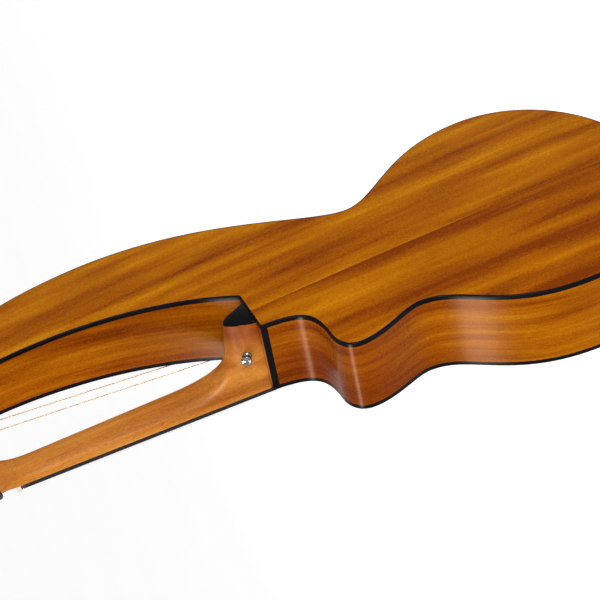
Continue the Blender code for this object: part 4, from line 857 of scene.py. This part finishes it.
# Bridge and pins
BRIDGE_TOP, BRIDGE_LOW, WING_HALF = -638.5, -674.5, 9.0
middle = (BRIDGE_TOP + BRIDGE_LOW) / 2
bass_wing, bass_shoulder, treble_shoulder, treble_wing = -112.0, -94.0, 46.0, 62.0
wing = []
for start, heading, end, last_heading in (
        ((bass_wing, middle + WING_HALF), 20.0, (bass_shoulder, BRIDGE_TOP), 0.0),
        ((treble_shoulder, BRIDGE_TOP), 0.0, (treble_wing, middle + WING_HALF), -20.0),
        ((treble_wing, middle - WING_HALF), 200.0, (treble_shoulder, BRIDGE_LOW), 180.0),
        ((bass_shoulder, BRIDGE_LOW), 180.0, (bass_wing, middle - WING_HALF), 160.0)):
    wing += bezier(start, heading, 6.0, end, last_heading, 6.0, 8)
piece("bridge_body", slab(wing, CLEAR, 9.3, 2.5, FRONT, steps=5), EBONY,
      stands_for=("bridge",), angle=30)
pins, pin_dots = bmesh.new(), bmesh.new()
pin_places = [share * SADDLE_SPREAD for share, _ in NECK_STRINGS]
pin_places += [bass_x(n, SADDLE_Z - 13.0) for n in range(5)]
for x in pin_places:
    seat = FRONT @ Matrix.Translation((x, SADDLE_Z - 16.5, 9.2))
    turned(((2.6, -3.0), (2.6, 0.3), (3.7, 0.6), (4.0, 1.2), (3.7, 2.0), (2.6, 2.7), (1.1, 3.0),
            (0.9, 3.0)), 24, seat, pins)
    turned(((1.0, 2.4), (1.0, 3.02), (0.5, 3.12), (0.0, 3.15)), 20, seat, pin_dots)
piece("bridge_pins", pins, CAP_BLACK, angle=40)
piece("bridge_pin_dots", pin_dots, PEARL)

# Arm head: its slanted edge runs outside the posts
FACE_START, POST_MARGIN, TIP_ROUND = ARM_NUT_Z - ARM_END_Z, 14.0, 1.1
POST_STEP = Vector((16.75, 27.5))
ARM_POSTS = [Vector((-180.0, 43.0)) + POST_STEP * (4 - k) for k in range(5)]
ARM_OUT = Vector((-POST_STEP.y, POST_STEP.x)).normalized()
SLANT = [Vector((-p.x, FACE_START + cos(ARM_TILT) * p.y))
         for p in (post + ARM_OUT * POST_MARGIN for post in reversed(ARM_POSTS))]
run = SLANT[-1] - SLANT[0]
outer = bezier((205.0, CLEAR), UP + 6.0, 30.0, SLANT[0], degrees(atan2(run.y, run.x)), 25.0, 24)
OUTER = [(p.y, p.x) for p in outer] + [(SLANT[-1].y, SLANT[-1].x), (ARM_HEAD_LENGTH, 110.0)]


def arm_row(height):
    """Inner edge, outer edge, front and back of the arm head at a height."""
    inner = 97.0 + 15.5 * max(0.0, 1 - height / 60.0) ** 3
    inner += 8.0 * max(0.0, 1 - (ARM_HEAD_LENGTH - height) / 20.0) ** 2
    rise = (height - FACE_START) * tan(ARM_TILT)
    thick = ARM_THICKNESS / cos(ARM_TILT)
    arm_back = back_depth(-158.75, ARM_END_Z) - 1.0
    t = min(1.0, height / 50.0)
    fade = (1 - t) ** 2 * (1 + 1.2 * t)
    back = rise + thick + (arm_back - thick + FACE_START * tan(ARM_TILT)) * fade
    return -inner, -between(OUTER, height), max(0.0, rise), back


loops = []
tip_start = ARM_HEAD_LENGTH - TIP_ROUND
for height in sorted({CLEAR, *[p.y for p in outer[1:]], SLANT[-1].y,
                      *[2.0 + 4.0 * k for k in range(52)], tip_start, 207.6, ARM_HEAD_LENGTH}):
    inner, edge, front, back = arm_row(height)
    tip = TIP_ROUND - sqrt(max(0.0, TIP_ROUND ** 2 - max(0.0, height - tip_start) ** 2))
    inner, edge, front, back = inner - tip, edge + tip, front + tip, back - tip
    soft = min(6.0, (inner - edge) / 3, (back - front) / 3)
    loop = []
    for first, x, y, sx, sy, r in ((-90, inner, front, -1, 1, 1.5), (0, inner, back, -1, -1, soft),
                                   (90, edge, back, 1, -1, soft), (180, edge, front, 1, 1, 1.5)):
        for a in (radians(first + 18 * k) for k in range(6)):
            loop.append(Vector((x + sx * r + r * cos(a), y + sy * r + r * sin(a),
                                ARM_END_Z + height)))
    loops.append(loop)
piece("arm_head_body", rings(loops), ARM_WOOD, stands_for=("arm_head",), angle=40)
face = [Vector((arm_row(h)[side] + gap, (h - FACE_START) / cos(ARM_TILT)))
        for side, gap, heights in ((0, -1.6, range(34, 206, 6)), (1, 1.6, range(202, 33, -6)))
        for h in heights]
head_slab("arm_veneer", face[::-1], -0.1, 0.6, EBONY, 0.3, ARM_HEAD)

# Tuners
WORM_OFFSET, WORM_HEIGHT, WORM_HALF, WORM_PITCH = 9.6, 4.8, 4.5, 1.8
GEAR_TEETH, GEAR_RIM, TOOTH_DEPTH = 15, 6.0, 1.1
SHAFT_HALF = 2.0


def tuner_frame(head, thickness, place, outward):
    """A post's frame on the back of a head, with X to the button."""
    out = Vector((*outward, 0)).normalized()
    return head @ axes(out, Vector((0, 0, 1)).cross(out), (0, 0, 1), (*place, thickness))


def worm_side(frame):
    """The side of a post, along its frame's Y, on which the worm lies below it."""
    return -1.0 if (frame.to_3x3() @ Vector((0, 1, 0))).z > 0 else 1.0


def gear_radius(angle, height, base):
    if base < GEAR_RIM:
        return max(base, 1e-3)
    return base - TOOTH_DEPTH * (0.5 - 0.5 * max(-1.0, min(1.0, 1.8 * cos(GEAR_TEETH * angle))))


def worm_radius(angle, height, base):
    if abs(height) >= WORM_HALF:
        return base
    inside = min(1.0, (WORM_HALF - abs(height)) / 0.6)
    wave = cos(angle - 2 * pi * height / WORM_PITCH)
    ridge = 0.5 + 0.5 * max(-1.0, min(1.0, 1.7 * wave))
    return SHAFT_HALF + inside * (0.45 + 0.5 * ridge)


def build_tuner(head, thickness, place, outward, number, group):
    """A post with its gear, a button with its worm and a bushing; gives the frame and groove."""
    frame = tuner_frame(head, thickness, place, outward)
    front = -thickness - 17.0
    groove = front + 6.0
    post = turned(((3.2, 3.4), (3.2, groove + 3.2), (3.0, groove + 2.2), (2.55, groove + 1.0),
                   (2.4, groove), (2.55, groove - 1.0), (3.0, groove - 2.2), (3.2, groove - 3.0),
                   (3.2, front + 0.9), (3.0, front + 0.35), (2.4, front + 0.05), (0.0, front)),
                  32, frame)
    turned(((5.9, 3.3), (6.3, 3.5), (6.3, 6.1), (5.9, 6.3)), 7 * GEAR_TEETH, frame, post,
           twist=gear_radius)
    turned(((2.4, 6.2), (2.4, 7.3), (2.1, 7.75), (1.4, 7.88), (0.0, 7.9)), 24, frame, post)
    name = f"{group}_post_{number}"
    piece(f"{name}_body", post, NICKEL, name, (name,), 40)
    # Painted shade: a black bar for the slot in the post's top and a black rod through the post for
    # the string hole
    recess = slab(rectangle(2.0, 0.3), 7.4, 7.92, 0, frame)
    slab(circle(0.75, 16), -3.28, 3.28, 0, sideways(frame @ Matrix.Translation((0, 0, groove))),
         recess)
    piece(f"{name}_recess_shades", recess, PAINTED_SHADE_BLACK, name)

    axis = (frame @ Matrix.Translation((0, worm_side(frame) * WORM_OFFSET, WORM_HEIGHT))
            @ Matrix.Rotation(pi / 2, 4, 'Y'))
    profile = [(SHAFT_HALF, -7.4), (SHAFT_HALF, -4.6)]
    profile += [(2.9, -WORM_HALF + 0.18 * k) for k in range(51)]
    profile += [(SHAFT_HALF, 4.6), (SHAFT_HALF, 17.6)]
    name = f"{group}_button_{number}"
    piece(f"{name}_worm", turned(profile, 24, axis, twist=worm_radius), NICKEL,
          name, angle=60)
    knob = [(SHAFT_HALF, 17.4), (3.1, 17.5), (3.3, 18.2), (2.7, 19.0), (3.3, 19.9)]
    knob += [(3.6 + 4.9 * sin(pi / 2 * k / 8) ** 1.3, 20.0 + k) for k in range(1, 9)]
    knob += [(8.5, 28.3), (8.9, 31.0), (9.0, 33.0), (8.6, 34.8), (7.6, 36.0), (6.0, 36.7),
             (3.6, 36.95), (0.0, 37.0)]
    body = turned(knob, 40, axis, squeeze=lambda h: 1.0 - 0.4 * max(0.0, min(1.0, (h - 18.5) / 4)))
    piece(f"{name}_knob", body, BUTTON, name, (name,), 40)

    ring = turned(((6.6, 0.0), (6.6, 0.4), (5.9, 0.7), (5.0, 0.8), (5.0, 1.9), (4.6, 2.3),
                   (3.9, 2.4), (3.9, 0.2)), 36,
                  frame @ Matrix.Translation((0, 0, -thickness)) @ FLIP)
    piece(f"{group}_bushing_{number}", ring, NICKEL, angle=40)
    return frame, groove


PLATE_END, PLATE_ROUND, PLATE_TOP = 16.0, 3.0, 1.45
BEARING_HALF, SCREW_RADIUS = 3.6, 1.8
SCREW = ((SCREW_RADIUS, 0.0), (SCREW_RADIUS, 0.35), (SCREW_RADIUS * 0.8, 0.75),
         (SCREW_RADIUS * 0.4, 0.95), (0.0, 1.0))


def build_tuner_plate(name, frames, node):
    """A plate under a row of tuners, with two bearings for each worm, and its screws."""
    first = frames[0]
    rows = [(first.inverted() @ frame).translation.y for frame in frames]
    low, high = min(rows) - PLATE_END, max(rows) + PLATE_END
    centre = sum(rows) / len(rows)
    side = worm_side(first)
    outline = []
    for x, y, start in ((9.5, high, 90), (9.5, low, 0), (-8.5, low, -90), (-8.5, high, 180)):
        for a in (radians(start - 15 * k) for k in range(7)):
            outline.append(Vector((x - copysign(PLATE_ROUND, x) + PLATE_ROUND * cos(a),
                                   y - copysign(PLATE_ROUND, y - centre) + PLATE_ROUND * sin(a))))
    shape = slab(outline, HAIR, 1.5, 0.45, first)
    for worm in (row + side * WORM_OFFSET for row in rows):
        arch = [Vector((worm - BEARING_HALF * cos(a), WORM_HEIGHT + BEARING_HALF * sin(a)))
                for a in (pi * k / 14 for k in range(15))]
        profile = [Vector((worm - BEARING_HALF, 0.8)), *arch, Vector((worm + BEARING_HALF, 0.8))]
        for start in (-6.4, 4.8):
            slab(profile, start, start + 1.6, 0.25, sideways(first), shape, 2)
    # Painted shade: black bars for the slots in the screw heads
    slot_shades = bmesh.new()
    for y in (low + 4.0, high - 4.0, *((a + b) / 2 - side * 2.0 for a, b in zip(rows, rows[1:]))):
        turned(SCREW, 20, first @ Matrix.Translation((0.5, y, PLATE_TOP)), shape)
        slab(rectangle(SCREW_RADIUS * 0.8, 0.25, 0.5, y), PLATE_TOP, PLATE_TOP + 1.06, 0, first,
             slot_shades)
    piece(name, shape, NICKEL, stands_for=(node,), angle=40)
    piece(name + "_slots", slot_shades, PAINTED_SHADE_BLACK)


NECK_POSTS = [((side * 23.0, 46.0 + 42.0 * row), (side, 0))
              for side, rows in ((-1, (0, 1, 2)), (1, (2, 1, 0))) for row in rows]
neck_tuners = [build_tuner(HEAD, HEAD_THICKNESS, place, out, k + 1, "neck")
               for k, (place, out) in enumerate(NECK_POSTS)]
arm_tuners = [build_tuner(ARM_HEAD, ARM_THICKNESS, place, ARM_OUT, k + 1, "harp")
              for k, place in enumerate(ARM_POSTS)]
for name, tuners, node in (("plate_bass", neck_tuners[:3], "tuner_plate_bass"),
                           ("plate_treble", neck_tuners[3:], "tuner_plate_treble"),
                           ("plate_harp", arm_tuners, "harp_tuner_plate")):
    build_tuner_plate(name, [frame for frame, _ in tuners], node)

# Strings
COIL_TURNS, COIL_STEPS = 3.2, 96


def build_string(name, radius, saddle_x, nut, nut_back, top, tuner, body, material, slot):
    """A string from its pin over the saddle and the nut to its post, with coils on the post."""
    frame, groove = tuner
    over = -(SADDLE_CROWN + radius)
    toward = (frame.inverted() @ nut).xy
    lay = 3.1 + radius
    angle = atan2(toward.y, toward.x) + acos(min(1.0, lay / toward.length)) * top
    contact = frame @ Vector((lay * cos(angle), lay * sin(angle), groove))
    points = [(saddle_x, -7.0, SADDLE_Z - 14.6), (saddle_x, -9.4 - radius, SADDLE_Z - 12.6),
              (saddle_x, over + 0.6, SADDLE_Z - 2.2), (saddle_x, over, SADDLE_Z - 0.8),
              (saddle_x, over, SADDLE_Z + 0.8), nut_back, nut, contact]
    piece(name + "_wire", tube(points, radius, 12), material, stands_for=(name,), angle=60)
    coil = []
    for k in range(COIL_STEPS + 1):
        a = angle - top * 2 * pi * COIL_TURNS * k / COIL_STEPS
        depth = min(2.9 - radius, k / COIL_STEPS * COIL_TURNS * 2 * radius)
        lay = 2.55 + radius + 0.55 * (1 - min(1.0, k / 10))
        coil.append(frame @ Vector((lay * cos(a), lay * sin(a), groove + depth)))
    piece(name + "_coil", tube(coil, radius, 8), material, body, angle=60)


for index, (share, radius) in enumerate(NECK_STRINGS):
    over = -(NUT_HEIGHT + CLEAR + radius)
    x = share * NUT_SPREAD
    metal = (BRONZE, "string_bronze") if radius >= 0.3 else (STEEL, "string_steel")
    build_string(f"string_{6 - index}", radius, share * SADDLE_SPREAD, Vector((x, over, 4.6)),
                 Vector((x, over, 0.0)), -1.0 if index < 3 else 1.0, neck_tuners[index],
                 f"neck_post_{index + 1}", *metal)
for index, radius in enumerate(BASS_RADII):
    over = -(ARM_NUT_HEIGHT + CLEAR + radius)
    nut, nut_back = (Vector((bass_x(index, z), over, z)) for z in (33.6, 29.0))
    build_string(f"sub_bass_string_{index + 1}", radius, bass_x(index, SADDLE_Z), nut, nut_back,
                 -1.0, arm_tuners[index], f"harp_post_{index + 1}", BRONZE, "string_bronze")

# Strap buttons
STRAP_PROFILE = ((5.4, 0.0), (5.4, 1.3), (5.1, 1.6), (4.3, 2.1), (3.7, 3.0), (3.4, 4.2), (3.4, 6.4),
                 (3.7, 7.3), (4.6, 8.3), (5.8, 9.0), (6.6, 9.5), (6.8, 10.0), (6.8, 10.6),
                 (6.5, 11.2), (5.8, 11.7), (4.6, 12.0), (3.6, 11.9), (3.2, 11.5), (2.9, 11.4),
                 (2.0, 11.6), (0.0, 11.7))
TAIL_SEAT = Matrix.Translation((0, 58.0, station_z(BODY_LENGTH))) @ Matrix.Rotation(pi, 4, 'X')
for name, seat in (("heel", STRAP_SEAT), ("tail", TAIL_SEAT)):
    piece(f"strap_{name}", turned(STRAP_PROFILE, 48, seat), CHROME_PAINTED_DARK,
          stands_for=(f"strap_button_{name}",), angle=50)
    # Painted shade: a black cross for the slot in the button's screw
    cross = bmesh.new()
    for turn in (0.0, pi / 2):
        slab(rectangle(1.7, 0.35), 11.2, 11.66, 0, seat @ Matrix.Rotation(turn, 4, 'Z'), cross)
    piece(f"strap_{name}_cross", cross, PAINTED_SHADE_BLACK)

# Pieces inside the body keep the solids' shapes
for name, item in NODES.items():
    if item.hide_render:
        continue
    wood = NECK_WOOD if "block" in name else ROSEWOOD if "bridge_plate" in name else SPRUCE
    item.data.materials.clear()
    item.data.materials.append(STEEL if name == "truss_rod" else wood)

# Room
FLOOR_Z, FLOOR_RADIUS, FLOOR_GLOW = -0.882, 60.0, 0.7
WHITE = (1.0, 1.0, 1.0, 1.0)
look = Look("floor", Specular_IOR_Level=0.1, Emission_Color=WHITE)
mottle = look.noise((3.0, 3.0, 3.0))
look.put(look.bsdf.inputs["Emission Strength"],
         look.math('MULTIPLY', look.background_rays(), FLOOR_GLOW))
look.finish(look.ramp(mottle, ((0.3, (0.74, 0.74, 0.74)), (0.7, (0.78, 0.78, 0.78)))), 0.9, mottle,
            0.01, 0.0005)
floor_shape = bmesh.new()
floor_shape.faces.new([floor_shape.verts.new((p.x, p.y, FLOOR_Z))
                       for p in circle(FLOOR_RADIUS, 64)[::-1]])
floor_mesh = bpy.data.meshes.new("floor")
floor_shape.to_mesh(floor_mesh)
floor_shape.free()
floor_mesh.materials.append(look.material)
add_object("floor", floor_mesh)

world = bpy.data.worlds.new("studio")
bpy.context.scene.world = world
world.use_nodes = True
sky = Nodes(world.node_tree)
ground = sky.tree.nodes["Background"]
ground.inputs["Color"].default_value = (0.31, 0.31, 0.31, 1.0)
white = sky.add('ShaderNodeBackground', {"Color": WHITE})
mixer = sky.add('ShaderNodeMixShader', {0: sky.background_rays(), 1: ground.outputs[0],
                                        2: white.outputs[0]})
sky.put(sky.tree.nodes["World Output"].inputs["Surface"], mixer.outputs[0])

MIDDLE = Vector((0.0, 0.06, -0.35))


def softbox(name, direction, distance, width, height, power, colour=(1.0, 0.96, 0.93),
            diffuse=True, glossy=True):
    """An area light in a direction from the middle of the part, turned to it."""
    direction = Vector(direction).normalized()
    data = bpy.data.lights.new(name, 'AREA')
    data.shape, data.size, data.size_y = 'RECTANGLE', width, height
    data.energy, data.color = power, colour
    item = add_object(name, data)
    item.location = MIDDLE + direction * distance
    item.rotation_mode = 'QUATERNION'
    item.rotation_quaternion = direction.to_track_quat('Z', 'Y')
    item.visible_diffuse, item.visible_glossy = diffuse, glossy


softbox("softbox_front", (0.487, -0.615, 0.62), 3.0, 0.5, 0.6, 90.0, (1.0, 0.84, 0.76),
        diffuse=False)
softbox("softbox_side", (0.60, -0.50, 0.62), 3.0, 1.6, 1.6, 40.0, (1.0, 0.88, 0.8), glossy=False)
softbox("softbox_camera", (0.70, 0.69, 0.17), 3.0, 0.6, 0.6, 40.0, (1.0, 0.9, 0.84))
softbox("softbox_heel", (0.64, 0.70, 0.31), 3.0, 0.35, 0.35, 110.0, (1.0, 0.92, 0.94),
        diffuse=False)
softbox("softbox_back", (0.22, 0.95, -0.15), 3.0, 2.4, 2.4, 56.0)
softbox("softbox_fill", (-0.1, -1.0, 0.05), 3.2, 2.0, 2.0, 34.0)

sight = Vector((-0.75830822, -0.61504638, -0.21607082))
across = Vector((0.38875138, -0.16058155, -0.90724083))
camera_data = bpy.data.cameras.new("camera")
camera_data.lens, camera_data.sensor_width = 158.00808, 36.0
camera_data.clip_start, camera_data.clip_end = 0.1, 200.0
camera = add_object("camera", camera_data)
camera.matrix_world = axes(across, across.cross(sight), -sight,
                           (2.40366495, 2.03805057, 0.29445952))
bpy.context.scene.camera = camera
bpy.context.scene.view_settings.view_transform = 'Standard'
